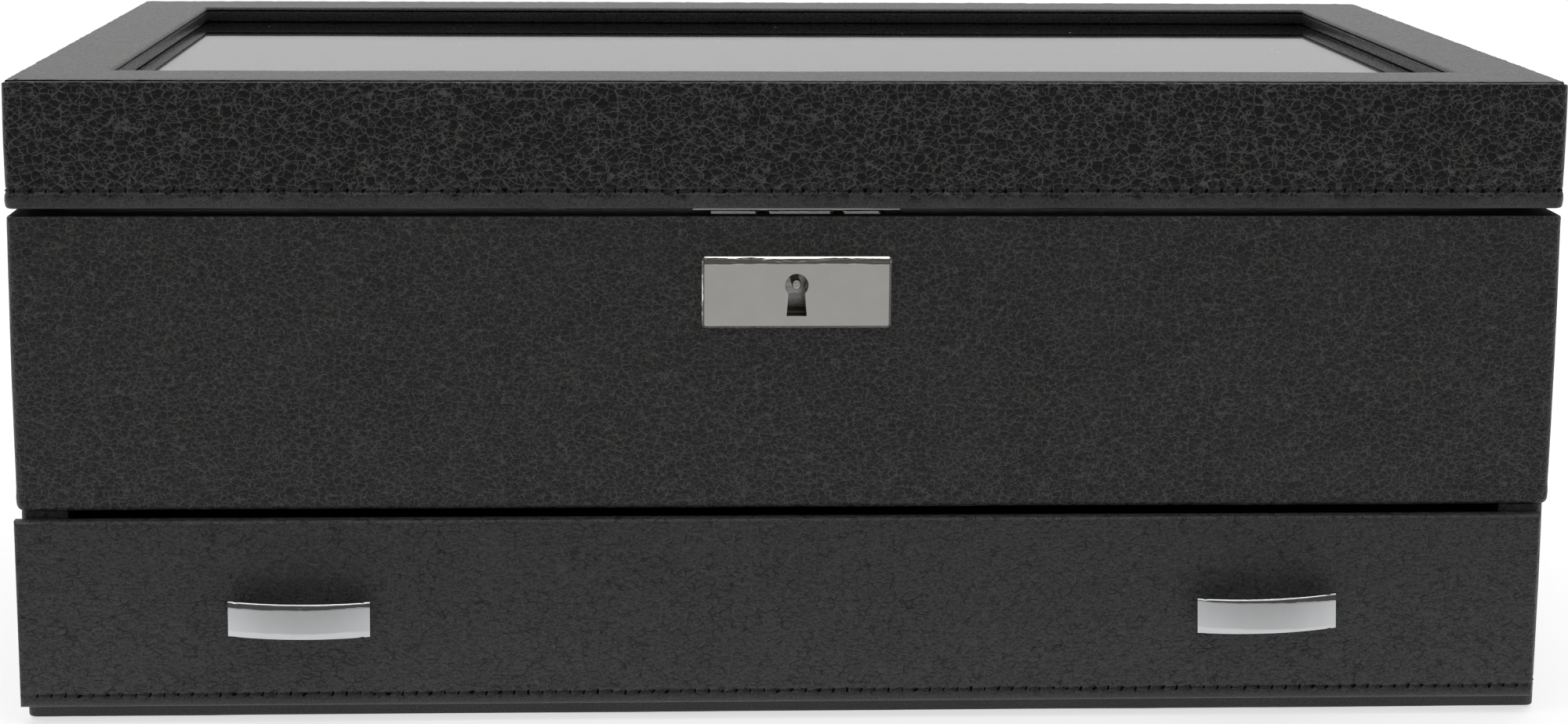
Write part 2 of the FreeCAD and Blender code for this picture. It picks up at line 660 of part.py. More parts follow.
def drawer_inside(z0, z1, inset=0.0):
    half = DRAWER_HALF - DRAWER_SIDE_T - inset
    y1 = DRAWER_BACK - DRAWER_BACK_T - inset
    return box(DRAWER_X - half, DRAWER_X + half, FRONT_BACK + inset, y1, z0, z1)


def drawer_bottom():
    return drawer_inside(BOTTOM_Z0, BOTTOM_Z1)


def drawer_lining():
    """The velour tray that lines the drawer."""
    tray = drawer_inside(BOTTOM_Z1, DRAWER_Z1 - LINING_LIP)
    tray = tray.cut(drawer_inside(BOTTOM_Z1 + LINING, DRAWER_Z1, LINING))
    return cut_all(tray, handle_screw_group(SCREW_CLEARANCE))


def drawer_dividers():
    inside = DRAWER_HALF - DRAWER_SIDE_T - LINING
    half = DIVIDER_T / 2
    y0 = FRONT_BACK + LINING
    y1 = DRAWER_BACK - DRAWER_BACK_T - LINING
    boards = []
    for side in (-1, 1):
        x = DRAWER_X + side * inside / 3
        boards.append(box(x - half, x + half, y0, y1, BOTTOM_Z1 + LINING, DRAWER_DIVIDER_Z1))
    return Part.makeCompound(boards)


def handle(side):
    """A bowed strip on two posts, turned a little about its middle."""
    centre = handle_centre(side)
    x = centre.x
    sag = HANDLE_MID - HANDLE_END
    half = HANDLE_W / 2
    front_r = (half * half + sag * sag) / (2 * sag)
    centre_y = FACE_Y - HANDLE_MID + front_r
    z0 = HANDLE_Z - HANDLE_H / 2

    def disc(radius):
        return rod(x, centre_y, z0, radius, HANDLE_H, UP)

    band = disc(front_r).cut(disc(front_r - HANDLE_T))
    strip = band.common(box(x - half, x + half, FACE_Y - HANDLE_MID - 1, FACE_Y - 1, z0, z0 + HANDLE_H))
    edges = [e for e in strip.Edges if e.BoundBox.ZLength < 0.01 and e.Length > half]
    strip = strip.makeFillet(HANDLE_EDGE_R, edges)
    inner = disc(front_r - HANDLE_T / 2)
    posts = [rod(x + way * POST_X, FACE_Y, HANDLE_Z, POST_R, HANDLE_MID, V(0, -1, 0)).common(inner)
             for way in (-1, 1)]
    pull = strip.fuse(posts).removeSplitter()
    pull.rotate(centre, V(0, -1, 0), HANDLE_TILT[side])
    return cut_all(pull, handle_screw_group(SCREW_CLEARANCE))


# ---- nodes -------------------------------------------------------------------------------
nodes = {
    "case_front_wall": case_front_wall(),
    "case_back_wall": case_back_wall(),
    "case_left_wall": case_side_wall(-1),
    "case_right_wall": case_side_wall(1),
    "case_deck": case_deck(),
    "case_leather": case_leather(),
    "compartment_lining": compartment_lining(),
    "floor_pad": floor_pad(),
    "long_divider": long_divider(),
    "cross_dividers": cross_dividers(),
    "rim_bumpers": rim_bumpers(),
    "bay_side_walls": bay_side_walls(),
    "bay_back_wall": bay_back_wall(),
    "base_panel": base_panel(),
    "bay_leather": bay_leather(),
    "base_felt": base_felt(),
    "drawer_glides": drawer_glides(),
    "drawer_stop": drawer_stop(),
    "lock_plate": lock_plate(),
    "lock_case": lock_case(),
    "lock_drill_pin": lock_drill_pin(),
    "lock_bolt": lock_bolt(),
    "strike_plate": strike_plate(),
    "lid_front_rail": lid_long_rail(-1),
    "lid_back_rail": lid_long_rail(1),
    "lid_left_rail": lid_short_rail(-1),
    "lid_right_rail": lid_short_rail(1),
    "lid_side_leather": lid_side_leather(),
    "lid_top_leather": lid_top_leather(),
    "lid_glass": lid_glass(),
    "lid_glass_retainer": lid_glass_retainer(),
    "lid_lining": lid_lining(),
    "hinge_lower_leaves": hinge_leaves(False),
    "hinge_upper_leaves": hinge_leaves(True),
    "hinge_pins": hinge_pins(),
    "case_screws": Part.makeCompound(case_screw_group()),
    "lid_screws": Part.makeCompound(lid_screw_group()),
    "drawer_front": drawer_front(),
    "drawer_face_leather": drawer_face_leather(),
    "drawer_left_side": drawer_side(-1),
    "drawer_right_side": drawer_side(1),
    "drawer_back": drawer_back(),
    "drawer_bottom": drawer_bottom(),
    "drawer_lining": drawer_lining(),
    "drawer_dividers": drawer_dividers(),
    "handle_left": handle(-1),
    "handle_right": handle(1),
    "handle_screws": Part.makeCompound(handle_screw_group()),
}
for row_name, row in (("front", -1), ("back", 1)):
    for column in range(CELLS_ACROSS):
        nodes["cushion_%s_%d" % (row_name, column + 1)] = cushion(column, row)

os.makedirs("parts", exist_ok=True)
for name, shape in nodes.items():
    if not shape.isValid() or not shape.Solids:
        raise ValueError(name + " is not a valid solid")
    shape.exportStep("parts/%s.step" % name)
print(len(nodes), "nodes,", sum(len(s.Solids) for s in nodes.values()), "solids")
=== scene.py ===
"""The looks of the leather watch box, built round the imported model. Lengths in mesh code are millimetres."""

import json
import math

import bpy
import numpy as np
from mathutils import Euler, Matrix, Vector


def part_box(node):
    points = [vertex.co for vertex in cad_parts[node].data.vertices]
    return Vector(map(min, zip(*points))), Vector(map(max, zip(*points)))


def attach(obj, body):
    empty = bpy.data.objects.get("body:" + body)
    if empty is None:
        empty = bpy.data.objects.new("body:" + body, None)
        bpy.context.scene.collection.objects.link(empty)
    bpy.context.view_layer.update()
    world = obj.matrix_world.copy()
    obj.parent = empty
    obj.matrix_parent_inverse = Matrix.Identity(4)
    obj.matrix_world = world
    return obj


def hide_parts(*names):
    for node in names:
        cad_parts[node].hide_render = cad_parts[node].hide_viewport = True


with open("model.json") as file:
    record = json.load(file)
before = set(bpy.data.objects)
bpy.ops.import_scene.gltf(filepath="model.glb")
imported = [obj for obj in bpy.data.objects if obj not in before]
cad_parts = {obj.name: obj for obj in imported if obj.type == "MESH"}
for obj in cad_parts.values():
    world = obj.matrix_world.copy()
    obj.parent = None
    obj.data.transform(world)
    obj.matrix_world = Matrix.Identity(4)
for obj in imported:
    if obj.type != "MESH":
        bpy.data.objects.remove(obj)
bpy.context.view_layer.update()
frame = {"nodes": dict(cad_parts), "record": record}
nodes = frame["nodes"]

MM = 0.001


# ---- sizes -------------------------------------------------------------------------------
def box_mm(node):
    """A CAD node's lowest and highest corner in millimetres."""
    low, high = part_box(node)
    return np.array(low) / MM, np.array(high) / MM


LID_LOW, LID_HIGH = box_mm("lid_side_leather")
TOP_LOW, TOP_HIGH = box_mm("lid_top_leather")
CASE_LOW, CASE_HIGH = box_mm("case_leather")
BAY_LOW, BAY_HIGH = box_mm("bay_leather")
FACE_LOW, FACE_HIGH = box_mm("drawer_face_leather")
GLASS_LOW, GLASS_HIGH = box_mm("lid_glass")
BASE_TOP = box_mm("base_panel")[1][2]
HINGE_PIECES = [n for n in nodes if n.startswith("hinge") and "screw" not in n]

BAY_WALL = 9.0           # thickness of the walls beside the drawer
BAY_MOUTH = box_mm("bay_side_walls")[1][0] - BAY_WALL
LEATHER = 1.0            # thickness of the cover leather
TURN_IN = 11.0           # width of the leather turned over a rim
BASE_TURN_IN = 12.0      # and under the base
GLASS_LAP = 6.0          # glass hidden under the top frame
CORNER_R = 2.0           # upright corners of the covered boxes
SHARPEST_R = 0.12        # smallest radius that an outline's corner may have
HINGE_MARGIN = 2.0       # flat leather on each side of a hinge
COVER_STEP = 1.1         # spacing of mesh points round a plain cover
ROLL_WIDTH = 1.7         # the bent-back edge of the bright plates
ROLL_DEPTH = 0.3
FOOT_DROP = 0.5          # how far the folded edge under the base hangs below its board

LID_PITCH = 3.3          # stitch lengths
BAY_PITCH = 3.0
BAY_SHIFT = 0.5          # where the bay's first stitch starts
LID_STITCH_Z = LID_LOW[2] + 3.8
BAY_STITCH_Z = 6.0
THREAD_R = 0.28
HOLE_R = 0.24
HOLE_LENGTH = 1.0
SEAM_SINK = 0.2          # threads below the leather's face


# ---- noise -------------------------------------------------------------------------------
def lattice_value(ix, iy, iz, seed):
    """A repeatable random number from -1 to 1 for each lattice point."""
    h = (ix * 73856093) ^ (iy * 19349663) ^ (iz * 83492791) ^ (seed * 2654435761)
    h = h & 0xFFFFFFFF
    h = ((h ^ (h >> 13)) * 1274126177) & 0xFFFFFFFF
    h = h ^ (h >> 16)
    return (h & 0xFFFF) / 32767.5 - 1.0


def noise(points, wavelength, seed):
    """Smooth value noise at points, one value each."""
    p = np.asarray(points, float) / wavelength
    base = np.floor(p).astype(np.int64)
    f = p - base
    u = f * f * (3 - 2 * f)
    total = np.zeros(p.shape[:-1])
    for dx in (0, 1):
        for dy in (0, 1):
            for dz in (0, 1):
                weight = (u[..., 0] if dx else 1 - u[..., 0])
                weight = weight * (u[..., 1] if dy else 1 - u[..., 1])
                weight = weight * (u[..., 2] if dz else 1 - u[..., 2])
                corner = lattice_value(base[..., 0] + dx, base[..., 1] + dy, base[..., 2] + dz, seed)
                total += weight * corner
    return total


# ---- mesh helpers ------------------------------------------------------------------------
def make_object(name, verts, faces, material, smooth_angle=40.0):
    """A mesh object from millimetre vertices."""
    mesh = bpy.data.meshes.new(name)
    mesh.from_pydata((np.asarray(verts, float) * MM).tolist(), [], faces)
    mesh.update()
    mesh.polygons.foreach_set("use_smooth", [True] * len(mesh.polygons))
    mesh.set_sharp_from_angle(angle=math.radians(smooth_angle))
    mesh.materials.append(material)
    obj = bpy.data.objects.new(name, mesh)
    bpy.context.scene.collection.objects.link(obj)
    return obj


def grid_faces(rows, columns, wrap_rows, wrap_columns, start=0):
    """Quads of a grid of vertices stored row after row."""
    i = np.arange(rows if wrap_rows else rows - 1)
    j = np.arange(columns if wrap_columns else columns - 1)
    i, j = np.meshgrid(i, j, indexing="ij")
    i2, j2 = (i + 1) % rows, (j + 1) % columns
    quads = np.stack([i * columns + j, i2 * columns + j, i2 * columns + j2, i * columns + j2], -1)
    return (quads.reshape(-1, 4) + start).tolist()


def end_caps(rows, columns, start=0):
    """The two faces that close the ends of a grid whose columns wrap."""
    last = start + (rows - 1) * columns
    return [list(range(start, start + columns)), list(range(last + columns - 1, last - 1, -1))]


def arc(centre_o, centre_z, radius, start, end, steps):
    """Profile points (offset, z) on an arc; angles in degrees, 0 is outwards and 90 is up."""
    angles = np.radians(np.linspace(start, end, steps))
    return [(centre_o + radius * math.cos(a), centre_z + radius * math.sin(a)) for a in angles]


def upright(start, end, step):
    """Profile points straight up the outside."""
    return [(0.0, z) for z in np.arange(start, end, step)]


def ring_samples(width, depth, step, marks=(), corner_steps=6):
    """Places along a rounded rectangle: (is_corner, which side or corner, share of it)."""
    found = []
    for k, length in enumerate((width, depth, width, depth)):
        shares = list(np.linspace(0, 1, max(2, round(length / step) + 1)))
        if k == 0 and marks:
            shares = [s for s in shares if min(abs(s - m) for m in marks) > 0.3 * step / length]
            shares = sorted(shares + list(marks))
        found += [(False, k, s) for s in shares]
        found += [(True, k, (c + 1) / (corner_steps + 1)) for c in range(corner_steps)]
    return found


SIDE_WAY = np.array([(1, 0), (0, 1), (-1, 0), (0, -1)], float)
SIDE_OUT = np.array([(0, -1), (1, 0), (0, 1), (-1, 0)], float)


def outline(rect, radius, samples):
    """Points of a rounded rectangle (x0, x1, y0, y1), anticlockwise from the front left."""
    x0, x1, y0, y1 = rect
    r = max(radius, SHARPEST_R)
    centres = np.array([(x1 - r, y0 + r), (x1 - r, y1 - r), (x0 + r, y1 - r), (x0 + r, y0 + r)])
    corner = np.array([s[0] for s in samples])
    k = np.array([s[1] for s in samples])
    share = np.array([s[2] for s in samples])
    start = centres[k - 1] + SIDE_OUT[k] * r
    end = centres[k] + SIDE_OUT[k] * r
    straight = start + (end - start) * share[:, None]
    turn = share * math.pi / 2
    out = SIDE_OUT[k] * np.cos(turn)[:, None] + SIDE_WAY[k] * np.sin(turn)[:, None]
    return np.where(corner[:, None], centres[k] + out * r, straight)


def footprint(low, high):
    """The rectangle (x0, x1, y0, y1) of a box seen from above."""
    return (low[0], high[0], low[1], high[1])


def front_share(samples):
    """1 along the front side of the path, 0 on the other sides, blended round the two front corners."""
    share = {(False, 0): lambda s: 1.0, (True, 3): lambda s: s, (True, 0): lambda s: 1 - s}
    return np.array([share.get((c, k), lambda s: 0.0)(s) for c, k, s in samples])


def near_hinges(p):
    """Where the back of the box must stay flat, beside the hinge knuckles."""
    beside = np.zeros(p.shape[:-1], bool)
    for name in HINGE_PIECES:
        low, high = box_mm(name)
        between = (p[..., 0] > low[0] - HINGE_MARGIN) & (p[..., 0] < high[0] + HINGE_MARGIN)
        beside |= between & (p[..., 1] > 0)
    return beside


def grown(rect, offset):
    x0, x1, y0, y1 = rect
    return (x0 - offset, x1 + offset, y0 - offset, y1 + offset)


def swept(rect, radius, profile, samples):
    """Positions [sample, profile point] of a profile of (offset, z) swept round a rounded rectangle."""
    rows = []
    for offset, z in profile:
        flat = outline(grown(rect, offset), radius + offset, samples)
        rows.append(np.column_stack([flat, np.full(len(flat), z)]))
    return np.stack(rows, 1)


def surface_normals(p, wrap_path=True):
    """Outward unit normals of a swept surface, from its neighbours."""
    along = np.roll(p, -1, 0) - np.roll(p, 1, 0)
    if not wrap_path:
        along[0] = p[1] - p[0]
        along[-1] = p[-1] - p[-2]
    up = np.roll(p, -1, 1) - np.roll(p, 1, 1)
    n = np.cross(along, up)
    return n / np.maximum(np.linalg.norm(n, axis=-1, keepdims=True), 1e-9)


def raised(p, relief, weight, wrap_path=True):
    """The surface moved out along its normals, by relief times weight."""
    return p + surface_normals(p, wrap_path) * (relief * weight)[..., None]


def path_length(flat, closed=True):
    """Distance along the path at each of its points, and its whole length."""
    steps = np.linalg.norm(np.diff(flat, axis=0), axis=1)
    lengths = np.concatenate([[0], np.cumsum(steps)])
    total = lengths[-1]
    if closed:
        total += np.linalg.norm(flat[0] - flat[-1])
    return lengths, total


WAVES = ((0.07, 26.0), (0.035, 7.0), (0.018, 2.6))      # (height, wavelength)


def leather_waves(p, seed):
    """How far stretched leather stands off its board: slow waves and small puckers."""
    return sum(height * noise(p, length, seed + k) for k, (height, length) in enumerate(WAVES))


def bulge(z, low, high):
    """A smooth swelling between two heights: 1 in the middle, 0 at both."""
    return np.sin(math.pi * np.clip((z - low) / (high - low), 0, 1))


def stitch_relief(s, z, stitch_z, pitch, shift):
    """The sunk line of a seam, deeper at each needle hole."""
    line = np.exp(-((z - stitch_z) / 0.55) ** 2)
    near = (s - shift + pitch / 2) % pitch - pitch / 2
    hole = np.exp(-(near / 0.5) ** 2 - ((z - stitch_z) / 0.5) ** 2)
    pucker = 0.05 * np.cos(2 * math.pi * (s - shift) / pitch) * np.exp(-((z - stitch_z) / 1.6) ** 2)
    return -0.16 * line - 0.30 * hole - pucker


BOX_FACES = ((0, 1, 3, 2), (4, 6, 7, 5), (0, 4, 5, 1), (2, 3, 7, 6), (0, 2, 6, 4), (1, 5, 7, 3))


def cut(obj, boxes):
    """Cuts boxes, given as (low, high) corners in mm, out of a closed mesh."""
    verts, faces = [], []
    for low, high in boxes:
        start = len(verts)
        xs, ys, zs = zip(low, high)
        verts += [(x, y, z) for x in xs for y in ys for z in zs]
        faces += [[start + i for i in face] for face in BOX_FACES]
    cutter = make_object("cutter", verts, faces, obj.data.materials[0])
    boolean = obj.modifiers.new("cut", "BOOLEAN")
    boolean.operation = "DIFFERENCE"
    boolean.solver = "EXACT"
    boolean.object = cutter
    obj.data = evaluated_copy(obj)
    obj.modifiers.clear()
    bpy.data.objects.remove(cutter)


def evaluated_copy(obj):
    """The mesh of an object with its modifiers applied."""
    graph = bpy.context.evaluated_depsgraph_get()
    return bpy.data.meshes.new_from_object(obj.evaluated_get(graph))


def second_material(obj, material, columns, path_points):
    """Gives another material to the chosen columns of a swept grid."""
    obj.data.materials.append(material)
    obj.data.polygons.foreach_set("material_index", np.tile(np.array(columns, int), path_points).tolist())


# ---- material helpers --------------------------------------------------------------------
def new_material(name, **constants):
    """A material with a Principled shader and its constant values set on its own sockets."""
    m = bpy.data.materials.new(name)
    m.use_nodes = True
    tree = m.node_tree
    shader = tree.nodes["Principled BSDF"]
    for key, value in constants.items():
        shader.inputs[key.replace("_", " ")].default_value = value
    return m, tree, shader


def add(tree, kind, inputs=None, **settings):
    """A node with its settings, and inputs given as values or as sockets to link."""
    node = tree.nodes.new(kind)
    for key, value in settings.items():
        setattr(node, key, value)
    for key, value in (inputs or {}).items():
        if isinstance(value, bpy.types.NodeSocket):
            tree.links.new(value, node.inputs[key])
        else:
            node.inputs[key].default_value = value
    return node


def math_node(tree, operation, a, b=0.0, clamp=False):
    return add(tree, "ShaderNodeMath", {0: a, 1: b}, operation=operation, use_clamp=clamp).outputs[0]


def vector_node(tree, operation, inputs):
    return add(tree, "ShaderNodeVectorMath", inputs, operation=operation).outputs[0]


def mapped(tree, value, from_min, from_max, to_min=0.0, to_max=1.0):
    """The value taken smoothly from one range to another."""
    inputs = {"Value": value, "From Min": from_min, "From Max": from_max, "To Min": to_min, "To Max": to_max}
    return add(tree, "ShaderNodeMapRange", inputs, interpolation_type="SMOOTHSTEP").outputs["Result"]


def mixed(tree, factor, a, b):
    """A mix of two colours."""
    node = tree.nodes.new("ShaderNodeMix")
    node.data_type = "RGBA"
    for key, value in (("Factor", factor), ("A", a), ("B", b)):
        target = [s for s in node.inputs if s.name == key and s.enabled][0]
        if isinstance(value, bpy.types.NodeSocket):
            tree.links.new(value, target)
        else:
            target.default_value = value
    return [s for s in node.outputs if s.enabled][0]


def place(tree, stretch=(1, 1, 1)):
    """Millimetre coordinates fixed to the object, optionally stretched."""
    at = add(tree, "ShaderNodeTexCoord").outputs["Object"]
    scale = tuple(1 / MM * s for s in stretch)
    return add(tree, "ShaderNodeMapping", {"Vector": at, "Scale": scale}).outputs["Vector"]


def noise_node(tree, vector, size, detail=3.0, roughness=0.55):
    inputs = {"Vector": vector, "Scale": 1 / size, "Detail": detail, "Roughness": roughness}
    return add(tree, "ShaderNodeTexNoise", inputs)


def cloud(tree, vector, size, detail=3.0, roughness=0.55):
    """A noise value from 0 to 1 with features of about size mm."""
    return noise_node(tree, vector, size, detail, roughness).outputs["Fac"]


def warped(tree, vector, size, amount):
    """The coordinates pushed about by noise."""
    swirl = noise_node(tree, vector, size, 2.0).outputs["Color"]
    centred = vector_node(tree, "SUBTRACT", {0: swirl, 1: (0.5, 0.5, 0.5)})
    return vector_node(tree, "ADD", {0: vector, 1: scaled(tree, centred, amount)})


def scaled(tree, vector, amount):
    return vector_node(tree, "SCALE", {0: vector, "Scale": amount})


def cell_edges(tree, vector, size):
    """Distance to the nearest cell wall, as a share of the cell size."""
    inputs = {"Vector": vector, "Scale": 1 / size}
    return add(tree, "ShaderNodeTexVoronoi", inputs, feature="DISTANCE_TO_EDGE").outputs["Distance"]


def grey(value, warm=0.0):
    return (value * (1 + warm), value, value * (1 - warm), 1.0)


def add_bump(tree, shader, height, strength, depth):
    """Roughens the shader's surface with a height; depth in mm."""
    bump = add(tree, "ShaderNodeBump", {"Height": height, "Strength": strength, "Distance": depth * MM})
    tree.links.new(bump.outputs["Normal"], shader.inputs["Normal"])
    return bump


# ---- materials ---------------------------------------------------------------------------
def leather(name, cell, ground, vein, crease, depth, roughness, stretch=(0.85, 0.85, 1.1), patchy=0.2,
            hem=None):
    """Black pebble-grained leather. ground and vein are the linear greys of the pebbles and of the net
    between them, and crease is how deep the long folds are and how much painted shade darkens them. hem is
    (low z, high z, grey) of a smooth band, whose lighter grey is painted light on the rounded hem."""
    m, tree, shader = new_material(name, Specular_IOR_Level=0.32)
    at = place(tree, stretch)
    curly = warped(tree, warped(tree, at, cell * 1.8, cell * 0.9), cell * 0.4, cell * 0.34)
    curly = warped(tree, curly, 0.3, 0.14)
    pebbles = cell_edges(tree, curly, cell)
    fine = cell_edges(tree, curly, cell * 0.55)
    long_way = place(tree, tuple(w * s for w, s in zip((0.8, 0.8, 1.15), stretch)))
    folds = cell_edges(tree, warped(tree, warped(tree, long_way, 3.0, 2.0), 0.7, 0.5), cell * 1.05)
    breaks = cloud(tree, at, 1.8, 2.0)
    patches = cloud(tree, at, 13.0)
    varied = cloud(tree, at, cell * 0.8, 2.0)
    speckle = cloud(tree, at, 0.4, 3.0, 0.65)

    net = mapped(tree, pebbles, 0.0, 0.085, 1.0, 0.0)
    fine_net = mapped(tree, fine, 0.0, 0.10, 0.75, 0.0)
    fine_net = math_node(tree, "MULTIPLY", fine_net, mapped(tree, varied, 0.40, 0.60))
    net = math_node(tree, "MAXIMUM", net, fine_net)
    net = math_node(tree, "MULTIPLY", net, mapped(tree, varied, 0.2, 0.75, 0.4, 1.1))
    fold_line = mapped(tree, folds, 0.0, 0.12, 1.0, 0.0)
    fold_line = math_node(tree, "MULTIPLY", fold_line, mapped(tree, breaks, 0.35, 0.6, 1.0, 0.1))
    tone = math_node(tree, "MULTIPLY", mapped(tree, patches, 0.25, 0.75, 1 - patchy, 1 + patchy),
                     mapped(tree, speckle, 0.25, 0.75, 0.45, 1.55))
    base = scaled(tree, grey(ground)[:3], tone)
    if hem:
        hem_low, hem_high, hem_lit_grey = hem
        z = add(tree, "ShaderNodeSeparateXYZ", {0: place(tree)}).outputs["Z"]
        rough_edge = mapped(tree, cloud(tree, at, 2.2), 0.25, 0.75, -1.3, 1.3)
        above_hem = mapped(tree, math_node(tree, "ADD", z, rough_edge), hem_low, hem_high)
        # The smooth hem band takes its own lighter grey: painted light, where the rounded hem catches light
        # from the floor.
        base = mixed(tree, above_hem, scaled(tree, grey(hem_lit_grey)[:3], tone), base)
        share = mapped(tree, above_hem, 0.0, 1.0, 0.12, 1.0)
        net = math_node(tree, "MULTIPLY", net, share)
        fold_line = math_node(tree, "MULTIPLY", fold_line, share)
    colour = mixed(tree, net, base, grey(vein, 0.01))
    # painted shade: the long folds are darkened towards near-black in the colour, as well as dented in the
    # bump below
    fold_shade_colour = grey(ground * 0.15, 0.10)
    colour = mixed(tree, math_node(tree, "MULTIPLY", fold_line, crease), colour, fold_shade_colour)
    tree.links.new(colour, shader.inputs["Base Color"])

    rough = mapped(tree, varied, 0.2, 0.8, roughness - 0.05, roughness + 0.05)
    rough = math_node(tree, "ADD", rough, math_node(tree, "MULTIPLY", net, 0.12), clamp=True)
    tree.links.new(rough, shader.inputs["Roughness"])

    height = math_node(tree, "ADD", mapped(tree, pebbles, 0.0, 0.4),
                       math_node(tree, "MULTIPLY", mapped(tree, fine, 0.0, 0.35), 0.4))
    height = math_node(tree, "ADD", height, math_node(tree, "MULTIPLY", speckle, 0.6))
    if hem:
        height = math_node(tree, "MULTIPLY", height, share)
    height = math_node(tree, "SUBTRACT", height, math_node(tree, "MULTIPLY", fold_line, crease))
    add_bump(tree, shader, height, 1.0, depth)
    return m


def velour(name, colour, nap_contrast):
    """Short-pile fabric with soft patches where the nap lies differently."""
    tint = (*[min(1.0, c * 2.2) for c in colour], 1.0)
    m, tree, shader = new_material(name, Roughness=0.95, Specular_IOR_Level=0.15, Sheen_Weight=0.35,
                                   Sheen_Roughness=0.45, Sheen_Tint=tint)
    at = place(tree)
    nap = cloud(tree, warped(tree, at, 18.0, 9.0), 12.0, 2.0)
    nap = mapped(tree, nap, 0.25, 0.75, 0.5 - nap_contrast, 0.5 + nap_contrast)
    fuzz = cloud(tree, at, 0.35, 2.0)
    dark = tuple(c * 0.72 for c in colour) + (1.0,)
    light = tuple(c * 1.22 for c in colour) + (1.0,)
    tone = math_node(tree, "ADD", nap, mapped(tree, fuzz, 0.2, 0.8, -0.3, 0.3), clamp=True)
    tree.links.new(mixed(tree, tone, dark, light), shader.inputs["Base Color"])
    add_bump(tree, shader, fuzz, 0.35, 0.25)
    return m


def rolled_height(tree, low, high, side_roll):
    """Height of a plate whose top and bottom edges, and left edge by side_roll, bend back a little."""
    at = add(tree, "ShaderNodeSeparateXYZ", {0: place(tree)})
    wander = mapped(tree, cloud(tree, place(tree, (0.3, 1, 1)), 3.0), 0.3, 0.7, -0.15, 0.15)
    height = 0.0
    edges = [("Z", high[2], 1, 1.0), ("Z", low[2], -1, 0.4), ("X", low[0], -1, side_roll)]
    for axis, edge, way, amount in edges:
        inside = math_node(tree, "SUBTRACT", edge * way, math_node(tree, "MULTIPLY", at.outputs[axis], way))
        inside = math_node(tree, "ADD", inside, wander)
        drop = mapped(tree, inside, 0.05, ROLL_WIDTH, ROLL_DEPTH * amount, 0.0)
        height = math_node(tree, "SUBTRACT", height, drop)
    return height


def metal(name, colour, roughness, brushed=None, smudge=0.06, rolled=None, side_roll=0.0):
    """Bright metal: smudged chrome, or brushed along one axis. rolled names a plate with bent-back edges."""
    m, tree, shader = new_material(name, Metallic=1.0)
    smears = cloud(tree, place(tree), 5.0, 4.0)
    lines = cloud(tree, place(tree, brushed or (1, 1, 1)), 0.6)
    rough = mapped(tree, smears, 0.3, 0.7, roughness, roughness + smudge)
    if brushed:
        rough = math_node(tree, "ADD", rough, mapped(tree, lines, 0.3, 0.7, -0.03, 0.08), clamp=True)
    tree.links.new(rough, shader.inputs["Roughness"])
    dull = tuple(c * 0.96 for c in colour) + (1.0,)
    tone = mapped(tree, smears, 0.3, 0.7)
    tree.links.new(mixed(tree, tone, dull, colour + (1.0,)), shader.inputs["Base Color"])
    if brushed:
        bump = add_bump(tree, shader, lines, 0.2, 0.02)
    else:
        bump = add_bump(tree, shader, smears, 0.2, 0.008)
    if rolled:
        height = rolled_height(tree, *box_mm(rolled), side_roll)
        edges = add(tree, "ShaderNodeBump", {"Height": height, "Strength": 1.0, "Distance": MM})
        tree.links.new(edges.outputs["Normal"], bump.inputs["Normal"])
    return m


def wood(name):
    """Black-stained board with a faint grain."""
    m, tree, shader = new_material(name, Roughness=0.75, Specular_IOR_Level=0.3)
    grain = cloud(tree, place(tree, (0.05, 1.0, 1.0)), 1.2, 4.0)
    fibre = cloud(tree, place(tree), 0.7)
    tone = math_node(tree, "ADD", mapped(tree, grain, 0.3, 0.7, 0.0, 0.7),
                     mapped(tree, fibre, 0.3, 0.7, -0.2, 0.3), clamp=True)
    colour = mixed(tree, tone, (0.016, 0.013, 0.011, 1), (0.036, 0.029, 0.024, 1))
    tree.links.new(colour, shader.inputs["Base Color"])
    add_bump(tree, shader, fibre, 0.4, 0.08)
    return m


def felt(name):
    m, tree, shader = new_material(name, Roughness=1.0, Specular_IOR_Level=0.1, Sheen_Weight=0.2)
    fuzz = cloud(tree, place(tree), 0.6, 4.0, 0.7)
    tree.links.new(mixed(tree, mapped(tree, fuzz, 0.3, 0.7), grey(0.009), grey(0.028)),
                   shader.inputs["Base Color"])
    add_bump(tree, shader, fuzz, 0.8, 0.2)
    return m


def pane(name):
    """Clear glass with a few specks of dust; lamps shine through it."""
    m, tree, shader = new_material(name, IOR=1.5)
    shader.inputs["Base Color"].default_value = (0.93, 0.96, 0.955, 1)
    at = place(tree)
    dots = add(tree, "ShaderNodeTexVoronoi", {"Vector": at, "Scale": 1 / 4.0}, feature="F1")
    pick = add(tree, "ShaderNodeSeparateXYZ", {0: dots.outputs["Color"]})
    size = mapped(tree, pick.outputs["X"], 0.8, 1.0, 0.0, 0.075)
    speck = math_node(tree, "LESS_THAN", dots.outputs["Distance"], size)
    clearness = math_node(tree, "SUBTRACT", 1.0, math_node(tree, "MULTIPLY", speck, 0.8))
    tree.links.new(clearness, shader.inputs["Transmission Weight"])
    haze = mapped(tree, cloud(tree, at, 30.0), 0.3, 0.7, 0.0, 0.004)
    tree.links.new(math_node(tree, "ADD", haze, math_node(tree, "MULTIPLY", speck, 0.6)),
                   shader.inputs["Roughness"])
    clear = add(tree, "ShaderNodeBsdfTransparent", {"Color": (0.9, 0.93, 0.925, 1)})
    lamp = add(tree, "ShaderNodeLightPath").outputs["Is Shadow Ray"]
    both = add(tree, "ShaderNodeMixShader", {0: lamp, 1: shader.outputs[0], 2: clear.outputs[0]})
    tree.links.new(both.outputs[0], tree.nodes["Material Output"].inputs["Surface"])
    return m


